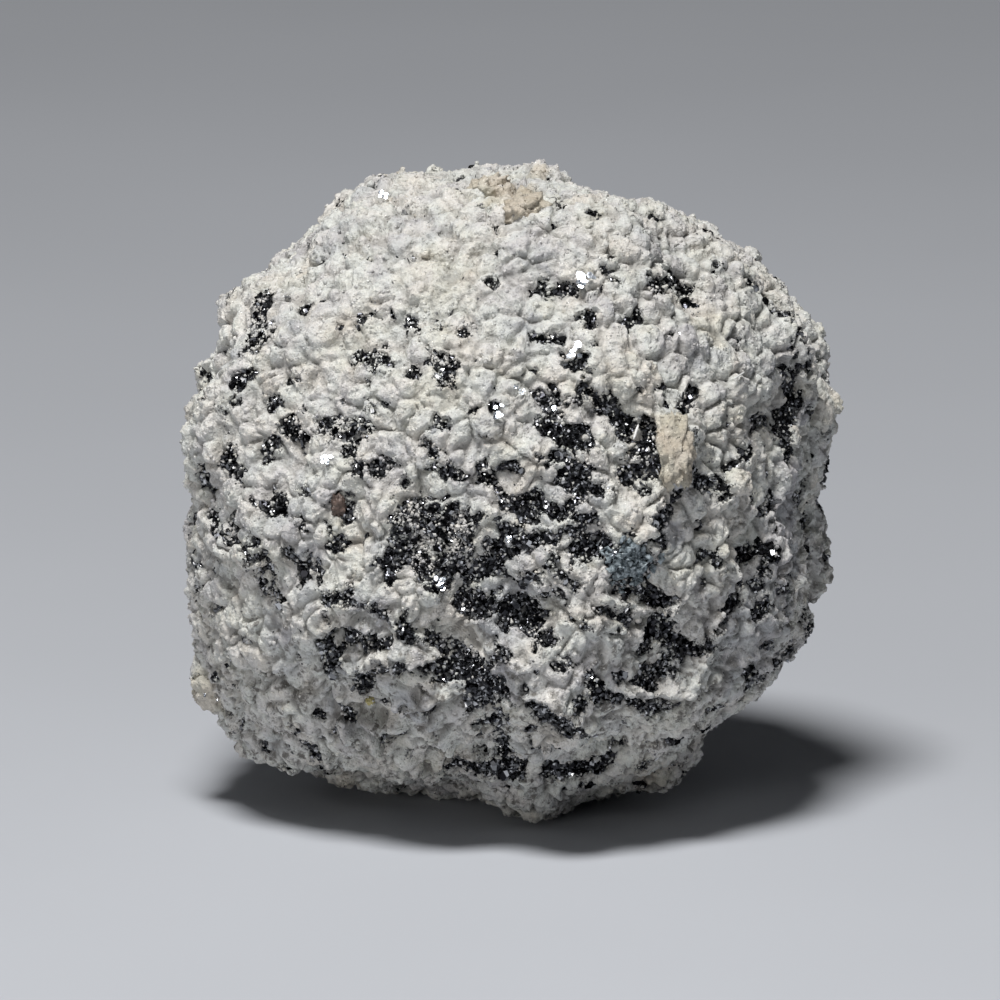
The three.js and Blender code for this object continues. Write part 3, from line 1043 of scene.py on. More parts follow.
@dataclass(frozen=True)
class CrustFinish:
    """Dull, grainy pale mineral: grey where thin, cream white over most, and tan where it is stained.

    The tuft, fluff, grit, sugar, mottle, hue patch and speck are the sizes of its patterns. Its creases, the
    gaps between its tufts and the hollows of its fluff are darkened with painted shade.
    """

    name: str = "pale crust"
    tuft: float = 0.3
    fluff: float = 0.12
    grit: float = 0.1
    sugar: float = 0.04
    mottle: float = 0.5
    mottling: float = 0.1
    hue_patch: float = 0.7
    speck: float = 0.05
    tuft_height: float = 0.16
    fluff_height: float = 0.03
    # Painted shade: how dark the hollows of the fluff are, and how light its tops
    fluff_hollow_shade: tuple[float, float] = (0.86, 1.02)
    sugar_light: tuple[float, float] = (0.9, 1.06)
    grit_tilt: float = 0.22
    sugar_tilt: float = 0.4
    sparkle: float = 0.14
    dullness: float = 0.85
    gloss: float = 0.7
    shine: float = 0.35
    softness: float = 0.12
    depth: float = 0.06
    spread: tuple[float, float, float] = (1.0, 0.9, 0.8)
    colours: tuple[tuple[float, Colour], ...] = (
        (0.0, (0.3, 0.3, 0.31)),
        # The violet grey at 0.3 tints the painted shade of the right side, and any crust of that tone
        (0.3, (0.55, 0.55, 0.575)),
        (0.5, (0.76, 0.757, 0.737)),
        (0.72, (0.73, 0.697, 0.63)),
        (1.0, (0.53, 0.475, 0.39)),
    )
    rosy: Colour = (1.0, 0.98, 0.965, 1.0)
    greenish: Colour = (0.98, 0.998, 0.975, 1.0)
    # The colour of the painted shade in the creases and in the gaps between the tufts
    crease: Colour = (0.2, 0.19, 0.175, 1.0)
    dark: Colour = (0.04, 0.04, 0.042, 1.0)
    grey: Colour = (0.36, 0.36, 0.36, 1.0)

    def material(self) -> bpy.types.Material:
        """Makes the material.

        Returns:
            The material. It reads the tone, the painted shade in creases and in the gaps between tufts, the
            pepper and the gloss of a mesh.
        """
        nodes = Nodes(self.name)
        tufts = nodes.clouds(self.tuft, detail=4.0, roughness=0.6)
        fluff = nodes.clouds(self.fluff, detail=5.0, roughness=0.62)
        grit = nodes.cells(self.grit)
        sugar = nodes.cells(self.sugar)
        tints = nodes.channels(sugar)
        chances = nodes.channels(nodes.cells(self.speck))
        specked = nodes.sum("LESS_THAN", chances[1], nodes.number("pepper"))
        speck = nodes.blend(chances[2], self.dark, self.grey)
        plain = self.plain_colour(nodes, tufts, fluff, tints[0])
        nodes.surface("Base Color", nodes.blend(specked, plain, speck))
        shiny = nodes.sum("MAXIMUM", nodes.number("gloss"), nodes.sum("LESS_THAN", tints[1], self.sparkle))
        polish = nodes.sum("MULTIPLY", shiny, self.gloss)
        nodes.surface("Roughness", nodes.sum("SUBTRACT", self.dullness, polish))
        nodes.surface("Specular IOR Level", self.shine)
        nodes.surface("Subsurface Weight", self.softness)
        nodes.surface("Subsurface Radius", self.spread)
        nodes.surface("Subsurface Scale", self.depth * MM)
        tufted = nodes.bump(tufts, self.tuft_height)
        fluffy = nodes.bump(fluff, self.fluff_height, under=tufted)
        facing = nodes.leaning(fluffy, grit, self.grit_tilt)
        nodes.surface("Normal", nodes.leaning(facing, sugar, self.sugar_tilt))
        return nodes.material

    def plain_colour(self, nodes: Nodes, tufts: Value, fluff: Value, tint: Value) -> bpy.types.NodeSocket:
        """Works out the colour without its dark specks, with painted shade in its creases, between its tufts
        and in the hollows of its fluff.

        Args:
            nodes: the material's nodes.
            tufts: the pattern of the tufts, with painted shade in the gaps between them.
            fluff: the pattern of the fluff, with painted shade in its hollows.
            tint: a random number for each grain of sugar.

        Returns:
            The colour.
        """
        mottle = nodes.span(nodes.clouds(self.mottle), 0.3, 0.7, -self.mottling, self.mottling)
        toned = nodes.ramp(nodes.sum("ADD", nodes.number("tone"), mottle), self.colours)
        hue = nodes.span(nodes.clouds(self.hue_patch, detail=2.0), 0.4, 0.6, 0.0, 1.0)
        colour = nodes.blend(1.0, toned, nodes.blend(hue, self.rosy, self.greenish), "MULTIPLY")
        # Painted shade in the hollows of the fluff, times a random lightness for each grain of sugar
        hollows = nodes.span(fluff, 0.3, 0.55, *self.fluff_hollow_shade)
        light = nodes.sum("MULTIPLY", nodes.span(tint, 0.0, 1.0, *self.sugar_light), hollows)
        # Painted shade in the gaps between the tufts and in the creases blends toward a dark brownish grey
        gap = nodes.sum("MULTIPLY", nodes.span(tufts, 0.47, 0.37, 0.0, 1.0), nodes.number("gaps"))
        deep = nodes.sum("MAXIMUM", nodes.number("crease"), gap)
        return nodes.blend(deep, nodes.scaled(colour, light), self.crease)


@dataclass(frozen=True)
class HematiteFinish:
    """Black metallic mineral made of small crystals, each with a shine of its own."""

    name: str = "hematite"
    crystal: float = 0.06
    tilt: float = 1.1
    metal: float = 1.0
    colours: tuple[tuple[float, Colour], ...] = (
        (0.0, (0.015, 0.015, 0.018)),
        (0.45, (0.045, 0.046, 0.052)),
        (0.8, (0.2, 0.205, 0.215)),
        (1.0, (0.75, 0.76, 0.78)),
    )
    smooth: float = 0.1
    dull: float = 0.38

    def material(self) -> bpy.types.Material:
        """Makes the material.

        Returns:
            The material.
        """
        nodes = Nodes(self.name)
        crystals = nodes.cells(self.crystal)
        tints = nodes.channels(crystals)
        nodes.surface("Base Color", nodes.ramp(tints[0], self.colours))
        nodes.surface("Roughness", nodes.span(tints[1], 0.0, 1.0, self.smooth, self.dull))
        nodes.surface("Metallic", self.metal)
        outward = nodes.add("NewGeometry", {}).outputs["Normal"]
        nodes.surface("Normal", nodes.leaning(outward, crystals, self.tilt))
        return nodes.material


@dataclass(frozen=True)
class StoneFinish:
    """A smooth, slightly waxy mineral, clouded between two colours."""

    name: str
    light: Colour
    dark: Colour
    cloud_size: float = 0.2
    roughness: float = 0.55
    polish: float = 0.15
    metal: float = 0.0
    pit_depth: float = 0.02

    def material(self) -> bpy.types.Material:
        """Makes the material.

        Returns:
            The material.
        """
        nodes = Nodes(self.name)
        clouds = nodes.clouds(self.cloud_size, detail=5.0)
        nodes.surface("Base Color", nodes.ramp(clouds, ((0.32, self.dark), (0.66, self.light))))
        fine = nodes.clouds(self.cloud_size / 3)
        smoothest = self.roughness - self.polish
        nodes.surface("Roughness", nodes.span(fine, 0.3, 0.7, smoothest, self.roughness))
        nodes.surface("Metallic", self.metal)
        nodes.surface("Normal", nodes.bump(fine, self.pit_depth, strength=0.8))
        return nodes.material


def add_piece(mesh: bpy.types.Mesh, material: bpy.types.Material) -> bpy.types.Object:
    """Adds a finished mesh as a piece of the specimen.

    Args:
        mesh: the piece's mesh, in place. Its name is the piece's name.
        material: the piece's finish.

    Returns:
        The piece.
    """
    piece = bpy.data.objects.new(mesh.name, mesh)
    bpy.context.collection.objects.link(piece)
    mesh.materials.append(material)
    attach(piece, BODY)
    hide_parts(NODE)
    low, high = (Vector(corner) for corner in (piece.bound_box[0], piece.bound_box[6]))
    size = " x ".join(f"{side / MM:.2f}" for side in high - low)
    log.info("%s: %d faces, %s mm", piece.name, len(mesh.polygons), size)
    return piece


@dataclass
class CrustMap:
    """Where the crust lies, where it is missing, and how its tone changes."""

    surface: Surface
    hidden_places: int = 150
    hidden_step: float = 0.09
    hidden_half: float = 0.13
    hidden_fray: float = 0.6
    hidden_wander: float = 0.4
    facing_the_eye: float = -0.12
    facing_the_ground: float = -0.9
    grow: float = 0.02
    wander: float = 0.1
    fray: float = 0.13
    pits: Packing = Packing(pitch=0.8, seed=41)
    pit_chance: float = 0.3
    pit_radius: float = 0.16
    pinholes: Packing = Packing(pitch=0.5, seed=47)
    pinhole_chance: float = 0.12
    pinhole_radius: float = 0.1
    hidden_pinholes: float = 0.14
    low_pinholes: float = 0.15
    ledge_reach: float = 0.3
    ledge_near: float = 0.29
    ledge_fray: float = 0.4
    routes: list[tuple[Route, float, Ground]] = field(init=False)

    def __post_init__(self) -> None:
        """Lays the bare patches of every side on the surface."""
        self.routes = self.hidden_routes()
        for patches in PATCHES:
            for half, *places in patches.runs:
                self.routes.append((self.surface.shown_route(tuple(places)), half, patches.ground))

    def report(self) -> None:
        """Names the places that were read from the photograph."""
        for patches in PATCHES:
            log.info("bare patches, %s: %d", patches.part, len(patches.runs))
        log.info("ledges and ribs: %s", ", ".join(ridge.name for ridge in RIDGES))
        log.info("stains_and_shade: %s", ", ".join(stain_and_shade.name for stain_and_shade in STAINS_AND_SHADE))

    def hidden_routes(self) -> list[tuple[Route, float, Ground]]:
        """Lays bare patches on the sides, the back and the top, which the photograph doesn't show.

        Returns:
            Each patch's run, half width and ground.
        """
        golden_turn = math.pi * (3 - math.sqrt(5))
        grounds = tuple(Ground)
        routes = []
        for i in range(self.hidden_places):
            height = 1 - (2 * i + 1) / self.hidden_places
            ring = math.sqrt(1 - height**2)
            turn = i * golden_turn
            place = Vector((ring * math.cos(turn), ring * math.sin(turn), height))
            if place.dot(EYE) > self.facing_the_eye or height < self.facing_the_ground:
                continue
            bend = i * math.sqrt(2) % 1
            heading = 2 * math.pi * (i * math.sqrt(3) % 1)
            side = Vector((-math.sin(turn), math.cos(turn), 0))
            run = [place]
            for _ in range(1 + i % 3):
                along = side.cross(run[-1]).normalized()
                step = side * math.cos(heading) + along * math.sin(heading)
                run.append((run[-1] + step * self.hidden_step).normalized())
                heading += 4 * bend - 2
            corners = np.array([self.surface.toward(direction) for direction in run])
            half = self.hidden_half * (0.6 + 1.4 * bend)
            routes.append((Route(corners), half, grounds[i % len(grounds)]))
        return routes

    def edges(self, points: np.ndarray, lumps: np.ndarray | float = 0.5) -> tuple[np.ndarray, np.ndarray]:
        """Measures how far points are from the ragged edge of the nearest bare patch.

        Args:
            points: places on the surface.
            lumps: the distance of each from the nearest clump's middle, in pitches.

        Returns:
            The distance, less than 0 inside a patch, and the share of the patch that dust covers.
        """
        least = np.full(len(points), np.inf)
        deepest = least.copy()
        dust = np.zeros(len(points))
        for route, half, ground in self.routes:
            gap = route.gaps(points)[0] - half
            dust = np.where(gap / half < deepest, ground.value, dust)
            deepest = np.minimum(deepest, gap / half)
            least = np.minimum(least, gap)
        hidden = ease(points @ np.array(EYE), 2.0, -1.0)
        ragged = self.wander * cloud(points, 0.5, seed=61) + self.fray * cloud(points, 0.2, seed=67)
        ragged = ragged * (1 + self.hidden_fray * hidden)
        ragged = ragged + self.hidden_wander * hidden * cloud(points, 0.8, seed=131, octaves=2)
        least = least + ragged + self.wander * (0.5 - lumps) - self.grow
        least = np.minimum(least, self.holes(points, hidden, ragged))
        shade = self.ridges(points)[1]
        ledges = self.ledge_reach - self.ledge_reach * shade + self.ledge_fray * cloud(points, 0.4, seed=127)
        return np.minimum(least, np.where(ledges < self.ledge_near, ledges, np.inf)), dust

    def holes(self, points: np.ndarray, hidden: np.ndarray, ragged: np.ndarray) -> np.ndarray:
        """Measures how far points are from the edge of the nearest pit or pinhole.

        Args:
            points: places on the surface.
            hidden: how far each is from the shown side, from 0 to 1.
            ragged: what is added to the distances, so that the edges are ragged.

        Returns:
            The distance, less than 0 inside a hole.
        """
        height = points[:, 2]
        chances = self.pinhole_chance + self.hidden_pinholes * hidden
        chances = chances + self.low_pinholes * ease(height, 0.0, -4.0)
        chances = chances - self.pinhole_chance * ease(height, 6.0, 7.0)
        least = np.full(len(points), np.inf)
        for packing, chance, widest in (
            (self.pits, self.pit_chance * hidden, self.pit_radius),
            (self.pinholes, chances, self.pinhole_radius),
        ):
            distance, _, number = packing.nearest(points)
            shuffled = (number * 17.0) % 1.0
            hole = distance * packing.pitch - widest * (0.4 + number) + ragged
            least = np.minimum(least, np.where(shuffled < chance, hole, np.inf))
        return least

    def ridges(self, points: np.ndarray) -> tuple[np.ndarray, np.ndarray]:
        """Works out how much the ledges and ribs add to the crust.

        Args:
            points: places on the surface.

        Returns:
            The rise at each point, and how deep it lies in the shade under a ledge, from 0 to 1.
        """
        total, shade = np.zeros(len(points)), np.zeros(len(points))
        wander = 0.12 * cloud(points, 0.5, seed=73)
        for ridge in RIDGES:
            gap, above = self.surface.shown_route(ridge.places).gaps(points)
            rise = ridge.rise * ease(gap + wander, ridge.width, 0.0)
            if ridge.profile is Profile.LEDGE:
                below = above + 0.8 * wander
                rise = rise * ease(below, -0.06, 0.04)
                shade = np.maximum(shade, ease(gap + wander, 0.4, 0.1) * ease(below, -0.02, -0.1))
            total = np.maximum(total, rise)
        return total, shade

    def tones(self, points: np.ndarray) -> np.ndarray:
        """Works out the crust's tone.

        Args:
            points: places on the surface.

        Returns:
            A number from 0, grey, over 0.5, cream white, to 1, tan.
        """
        tone = 0.5 + 0.16 * cloud(points, 1.3, seed=79, octaves=4)
        wander = 0.2 * cloud(points, 0.5, seed=83)
        for stain_and_shade in STAINS_AND_SHADE:
            gap = np.linalg.norm(points - np.array(self.surface.shown(*stain_and_shade.place)[0]), axis=1)
            share = ease(gap + wander, 1.2 * stain_and_shade.radius, 0.5 * stain_and_shade.radius)
            tone = tone + (stain_and_shade.tone - tone) * share
        return np.clip(tone, 0, 1)


@dataclass
class HematiteBody:
    """The body of hematite, which lies a little under the solid's surface and shows in the bare patches."""

    surface: Surface
    crust_map: CrustMap
    finish: HematiteFinish = HematiteFinish()
    sunk: float = 0.16
    deeper: float = 0.4
    knobs: Packing = Packing(pitch=0.28, seed=17)
    knob_rise: float = 0.05
    roughness: float = 0.06
    skin: Skin = field(init=False)
    edge: np.ndarray = field(init=False)
    dust: np.ndarray = field(init=False)

    def build(self) -> None:
        """Makes the body's mesh and finish."""
        places = self.surface.points
        self.edge, self.dust = self.crust_map.edges(places)
        first, _, _ = self.knobs.nearest(places)
        rise = self.knob_rise * (0.5 - first**2)
        rise = rise + self.roughness * cloud(places, 0.2, seed=89, octaves=2)
        rise = rise - self.sunk - self.deeper * ease(self.edge, 0.05, 0.3)
        self.skin = Skin(above_rest(places + self.surface.outward * rise[:, None]), self.surface.corners)
        everything = np.full(len(self.skin.corners), True)
        add_piece(self.skin.mesh("hematite_body", everything, {}), self.finish.material())


@dataclass
class PaleCrust:
    """The crust: packed clumps and knots with creases between them, missing in the bare patches."""

    surface: Surface
    crust_map: CrustMap
    finish: CrustFinish = CrustFinish()
    warp: float = 0.14
    rows_at: Spot = (-2.2, -5.0)
    rows_reach: float = 2.6
    rows_stretch: float = 0.55
    clumps: Packing = Packing(pitch=0.62, seed=3)
    clump_rise: float = 0.12
    clump_side: float = 0.3
    knots: Packing = Packing(pitch=0.27, seed=5)
    knot_rise: float = 0.055
    knot_side: float = 0.4
    crumbs: Packing = Packing(pitch=0.13, seed=11)
    crumb_rise: float = 0.014
    roughness: float = 0.065
    crack_width: float = 0.16
    crack_depth: float = 0.07
    ledge_hollow: float = 0.14
    lift: float = -0.17
    dip: float = 0.5
    skin: Skin = field(init=False)
    edge: np.ndarray = field(init=False)
    height: np.ndarray = field(init=False)
    # Painted shade: how much the crust is darkened in its creases and in the gaps between its tufts
    crease: np.ndarray = field(init=False)
    gaps: np.ndarray = field(init=False)
    tone: np.ndarray = field(init=False)

    def read_at(self, places: np.ndarray) -> np.ndarray:
        """Shifts places a little at random, and draws them together where the clumps lie in rows.

        Args:
            places: places on the surface.

        Returns:
            The places at which the packings are read for them.
        """
        shifts = [cloud(places, 0.7, seed=91 + axis, octaves=2) for axis in range(3)]
        warped = places + self.warp * np.column_stack(shifts)
        from_rows = warped - np.array(self.surface.shown(*self.rows_at)[0])
        in_rows = ease(np.linalg.norm(from_rows, axis=1), self.rows_reach, 0.5 * self.rows_reach)
        along_rows = np.array((RIGHT * 0.85 - UPWARD * 0.5).normalized())
        return warped - (self.rows_stretch * in_rows * (from_rows @ along_rows))[:, None] * along_rows

    def shape(self) -> None:
        """Works out where every point of the crust lies."""
        places = self.surface.points
        warped = self.read_at(places)
        clump, next_clump, clump_size = self.clumps.nearest(warped)
        knot, next_knot, knot_size = self.knots.nearest(warped)
        crumb, _, _ = self.crumbs.nearest(warped)
        self.edge, _ = self.crust_map.edges(places, 0.5 * (clump + knot))
        patchy = cloud(places, 0.7, seed=113)
        inward = next_clump - clump
        cracks = ease(inward, self.crack_width, 0.03) * ease(patchy, 0.0, 0.25)
        low_down = ease(places[:, 2], 1.0, -4.0)
        # Painted shade in the gaps between the tufts, stronger low down on the specimen
        self.gaps = (0.5 + 0.5 * low_down) * ease(patchy + 0.5 * low_down, -0.35, 0.2)
        clumps = (0.6 + 0.6 * clump_size) * ease(inward, 0.0, self.clump_side) + 0.2 * (0.5 - clump)
        round_tops = ease(next_knot - knot, 0.0, self.knot_side) + 0.3 * (0.5 - knot)
        relief = self.clump_rise * clumps + self.knot_rise * (0.5 + 0.7 * knot_size) * round_tops
        relief = relief + self.crumb_rise * (0.5 - 1.5 * crumb**2)
        relief = relief + self.roughness * cloud(places, 0.5, seed=97, octaves=4)
        low, high = np.percentile(relief, (5, 95))
        self.height = (relief - low) / (high - low)
        ridges, shade = self.crust_map.ridges(places)
        # Painted shade in the crust's low places, more of it low down on the specimen, in its cracks and
        # under the ledges
        hollow = (0.5 + 0.3 * ease(places[:, 2], 0.0, -4.0)) * ease(self.height, 0.4, 0.0)
        self.crease = np.maximum(hollow, np.maximum(0.5 * cracks, 0.75 * shade))
        rise = self.lift + relief + ridges - self.crack_depth * cracks - self.ledge_hollow * shade
        rise = rise - self.dip * ease(self.edge, 0.02, -0.07)
        self.skin = Skin(above_rest(places + self.surface.outward * rise[:, None]), self.surface.corners)
        self.tone = self.crust_map.tones(places)

    def build(self) -> bpy.types.Material:
        """Makes the crust's four quarters and their finish.

        Returns:
            The finish of the grains that lie on the crust. Light doesn't go through them.
        """
        self.shape()
        numbers = {
            "tone": self.tone,
            # Painted shade: these two numbers darken the creases and the gaps between the tufts
            "crease": self.crease,
            "gaps": self.gaps,
            "pepper": 0.05 * ease(self.height, 0.1, -0.1) + 0.4 * ease(self.edge, 0.08, 0.0),
            "gloss": np.zeros(len(self.tone)),
        }
        material = self.finish.material()
        middles = self.surface.points[self.surface.corners].mean(axis=1)
        for front, side in itertools.product(("front", "back"), ("left", "right")):
            kept = ((middles[:, 1] < 0) == (front == "front")) & ((middles[:, 0] < 0) == (side == "left"))
            add_piece(self.skin.mesh(f"crust_{front}_{side}", kept, numbers), material)
        solid = replace(self.finish, name="crust grains", softness=0.0, grit_tilt=0.1, sugar_tilt=0.15)
        return solid.material()


@dataclass
class CrustGrains:
    """Loose grains on the crust, with some scattered as dust over the bare patches.

    Each kind has a name, how many grains it has, and the share of them that lies in the bare patches.
    """

    crust: PaleCrust
    body: HematiteBody
    material: bpy.types.Material
    kinds: tuple[tuple[str, int, float, GrainKind], ...] = (
        ("coarse_grains", 3000, 0.05, GrainKind(Habit.ROUND, 0.05, 0.1, proud=-0.3)),
        ("middling_grains", 12000, 0.35, GrainKind(Habit.BLOCK, 0.03, 0.06, proud=-0.35)),
        ("fine_grains", 24000, 0.3, GrainKind(Habit.POINTED, 0.02, 0.04, proud=-0.2)),
        ("sugar", 20000, 0.0, GrainKind(Habit.POINTED, 0.018, 0.03, proud=-0.1)),
        ("dust", 22000, 1.0, GrainKind(Habit.POINTED, 0.025, 0.055, proud=0.6)),
    )
    dust_tone: float = 0.48
    tone_spread: float = 0.05
    peppered: float = 0.004
    shiny: float = 0.2
    seed: int = 7

    def build(self) -> None:
        """Makes one joined mesh for each kind of grain."""
        rng = np.random.default_rng(self.seed)
        crust, body = self.crust, self.body
        on_crust = ease(crust.edge, -0.02, 0.04) * (0.5 + 0.5 * ease(crust.height, 0.1, 0.6))
        on_crust = on_crust + 2 * ease(np.abs(crust.edge - 0.01), 0.05, 0.0)
        clouded = 0.12 + 1.1 * ease(cloud(body.skin.points, 0.4, seed=103), -0.2, 0.3)
        on_ground = body.dust * ease(body.edge, 0.0, -0.06) * clouded
        on_ground = on_ground + 0.35 * ease(np.abs(body.edge), 0.08, 0.0)
        for name, count, share, kind in self.kinds:
            dusted = int(count * share)
            places, facing, beside = crust.skin.scatter(on_crust, count - dusted, rng)
            low_places, low_facing, _ = body.skin.scatter(on_ground, dusted, rng)
            mesh = kind.mesh(name, np.vstack((places, low_places)), np.vstack((facing, low_facing)), rng)
            mesh.shade_smooth()
            tones = np.concatenate((crust.tone[beside], np.full(dusted, self.dust_tone)))
            tones = np.clip(tones + rng.normal(0, self.tone_spread, count), 0, 1)
            # The grains take a share of the painted shade of the creases beside them
            creases = np.concatenate((0.6 * crust.crease[beside], np.zeros(dusted)))
            pepper = np.where(rng.random(count) < self.peppered, 1.0, 0.0)
            gloss = np.where(rng.random(count) < self.shiny, 1.0, 0.0)
            numbers = {"tone": tones, "crease": creases, "pepper": pepper, "gloss": gloss}
            set_numbers(mesh, **{key: kind.for_each_point(values) for key, values in numbers.items()})
            add_piece(mesh, self.material)


@dataclass
class HematiteCrystals:
    """Small hematite crystals that stand in the bare patches and here and there through the crust."""

    body: HematiteBody
    finish: HematiteFinish = HematiteFinish("hematite crystals", crystal=0.14, tilt=0.3)
    kinds: tuple[tuple[str, int, GrainKind], ...] = (
        ("hematite_plates", 4000, GrainKind(Habit.PLATE, 0.04, 0.11, proud=0.3, stretch=0.2, wobble=0.08)),
        ("hematite_grains", 12000, GrainKind(Habit.BLOCK, 0.025, 0.07, proud=0.3, stretch=0.35, wobble=0.12)),
    )
    seed: int = 19

    def build(self) -> None:
        """Makes one joined mesh for each kind of crystal."""
        rng = np.random.default_rng(self.seed)
        weights = ease(self.body.edge, 0.06, -0.03)
        material = self.finish.material()
        for name, count, kind in self.kinds:
            places, facing, _ = self.body.skin.scatter(weights, count, rng)
            add_piece(kind.mesh(name, places, facing, rng), material)


@dataclass(frozen=True)
class SetGrain:
    """A larger grain that stands in the crust: its place, width, height and depth, and how round it is.

    The sugar is how many fine grains stick to it.
    """

    name: str
    place: Spot
    size: tuple[float, float, float]
    tone: float = 0.5
    finish: StoneFinish | None = None
    roundness: float = 0.6
    lean: float = 0.0
    proud: float = 0.3
    lumpiness: float = 0.12
    sugar: int = 0
    cuts: int = 11
    ball: float = 1.25
    lump_scale: float = 2.2

    def build(self, surface: Surface, material: bpy.types.Material) -> Skin:
        """Makes the grain and sets it on the surface.

        Args:
            surface: the surface that carries it.
            material: its finish.

        Returns:
            Its own surface, for the fine grains that stick to it.
        """
        grain = bmesh.new()
        bmesh.ops.create_cube(grain, size=2.0)
        bmesh.ops.subdivide_edges(grain, edges=grain.edges, cuts=self.cuts, use_grid_fill=True)
        for vert in grain.verts:
            vert.co = vert.co.lerp(vert.co.normalized() * self.ball, self.roundness)
            lumps = noise.fractal(vert.co * self.lump_scale + Vector(self.place).to_3d(), 1.0, 2.0, 4)
            vert.co *= 1 + self.lumpiness * lumps
        place, facing = surface.shown(*self.place)
        turn = turn_toward(facing) @ Matrix.Rotation(self.lean, 3, "Z")
        half = [side / 2 * MM for side in self.size]
        centre = (place + MIDDLE + facing * (self.proud - 0.5) * self.size[2]) * MM
        bmesh.ops.scale(grain, verts=grain.verts, vec=half)
        bmesh.ops.rotate(grain, verts=grain.verts, cent=(0, 0, 0), matrix=turn)
        bmesh.ops.translate(grain, verts=grain.verts, vec=centre)
        points, corners = triangles(grain)
        mesh = finished(self.name, grain)
        mesh.shade_smooth()
        set_numbers(mesh, tone=self.tone, crease=0.0, pepper=0.0, gloss=0.0)
        add_piece(mesh, material)
        return Skin(points / MM - np.array(MIDDLE), corners)


BROWN = StoneFinish(
    "reddish brown grain", light=(0.17, 0.12, 0.1), dark=(0.05, 0.035, 0.03), cloud_size=0.1, roughness=0.5
)
YELLOW = StoneFinish("yellow fleck", light=(0.55, 0.49, 0.24), dark=(0.45, 0.38, 0.14), cloud_size=0.1)
BLUE_GREY = StoneFinish(
    "blue grey crystals", light=(0.42, 0.49, 0.53), dark=(0.03, 0.045, 0.055), cloud_size=0.09, roughness=0.35
)
WHITE = StoneFinish("white needle", light=(0.85, 0.85, 0.84), dark=(0.75, 0.75, 0.74), roughness=0.35)

SET_GRAINS = (
    SetGrain(
        "tan_block", (3.87, 0.95), (0.66, 1.3, 0.5), 0.92,
        roundness=0.85, proud=0.15, lumpiness=0.45, sugar=200,
    ),
    SetGrain(
        "foot_of_the_block", (3.97, 0.3), (0.6, 0.5, 0.4), 0.3,
        roundness=0.9, proud=0.2, lumpiness=0.4, sugar=90,
    ),
    SetGrain(
        "cream_ball", (5.42, 0.2), (0.56, 0.5, 0.5), 0.66,
        roundness=0.9, proud=0.25, lumpiness=0.3, sugar=90,
    ),
    SetGrain(
        "right_knob", (7.25, 2.0), (0.7, 0.95, 0.6), 0.6,
        roundness=0.9, proud=0.1, lumpiness=0.3, sugar=120,
    ),
    SetGrain(
        "top_grain_left", (-0.38, 6.95), (0.8, 0.8, 0.6), 0.9,
        roundness=0.7, proud=0.15, lumpiness=0.4, sugar=140,
    ),
    SetGrain(
        "top_grain_right", (0.45, 6.45), (0.85, 0.75, 0.6), 0.94,
        roundness=0.7, proud=0.2, lumpiness=0.4, sugar=140,
    ),
    SetGrain(
        "corner_knob", (-6.75, -4.75), (0.8, 0.8, 0.7), 0.74,
        roundness=0.8, proud=0.0, lumpiness=0.35, sugar=110,
    ),
    SetGrain("brown_grain", (-3.69, -0.32), (0.26, 0.4, 0.2), finish=BROWN, proud=0.0, lumpiness=0.5),
    SetGrain(
        "yellow_fleck", (-3.0, -4.75), (0.17, 0.15, 0.12),
        finish=YELLOW, proud=0.4, lumpiness=0.5, sugar=6,
    ),
    SetGrain(
        "needle", (5.29, 2.58), (0.4, 0.035, 0.05),
        finish=WHITE, lean=0.4, proud=1.8, lumpiness=0.0,
    ),
    SetGrain(
        "splinter", (2.98, 1.3), (0.05, 0.35, 0.07),
        finish=WHITE, lean=-0.35, proud=1.4, lumpiness=0.0,
    ),
)


@dataclass
class SetGrains:
    """The larger grains, with fine grains of the crust that stick to them."""

    surface: Surface
    material: bpy.types.Material
    kind: GrainKind = GrainKind(Habit.POINTED, 0.025, 0.05, proud=-0.4)
    paler: float = 0.05
    gloss: float = 0.8
    seed: int = 31

    def build(self) -> None:
        """Makes each grain, then all the fine grains on them as one mesh."""
        rng = np.random.default_rng(self.seed)
        finishes = {grain.finish: grain.finish.material() for grain in SET_GRAINS if grain.finish}
        places, facing, tones = [], [], []
        for grain in SET_GRAINS:
            skin = grain.build(self.surface, finishes.get(grain.finish, self.material))
            spots, outward, _ = skin.scatter(np.ones(len(skin.points)), grain.sugar, rng)
            places.append(spots)
            facing.append(outward)
            tones.append(np.full(grain.sugar, grain.tone - self.paler))
        mesh = self.kind.mesh("sugar_on_the_grains", np.vstack(places), np.vstack(facing), rng)
        mesh.shade_smooth()
        tone = self.kind.for_each_point(np.concatenate(tones))
        set_numbers(mesh, tone=tone, crease=0.0, pepper=0.0, gloss=self.gloss)
        add_piece(mesh, self.material)


@dataclass
class BlueGreyCrystals:
    """The tuft of small blue-grey crystals right of the middle."""

    skin: Skin
    surface: Surface
    place: Spot = (2.9, -1.65)
    radius: float = 0.55
    count: int = 420
    kind: GrainKind = GrainKind(Habit.POINTED, 0.03, 0.09, proud=0.8, stretch=0.6)
    wander: float = 0.3
    lift: float = 0.1
    seed: int = 23

    def build(self) -> None:
        """Makes the tuft as one joined mesh."""
        rng = np.random.default_rng(self.seed)
        gap = np.linalg.norm(self.skin.points - np.array(self.surface.shown(*self.place)[0]), axis=1)
        ragged = gap + self.wander * cloud(self.skin.points, 0.3, seed=107)
        weights = ease(ragged, self.radius, 0.6 * self.radius)
        places, facing, _ = self.skin.scatter(weights, self.count, rng)
        raised = places + facing * rng.uniform(0, self.lift, self.count)[:, None]
        mesh = self.kind.mesh("blue_grey_crystals", raised, facing, rng)
        add_piece(mesh, BLUE_GREY.material())


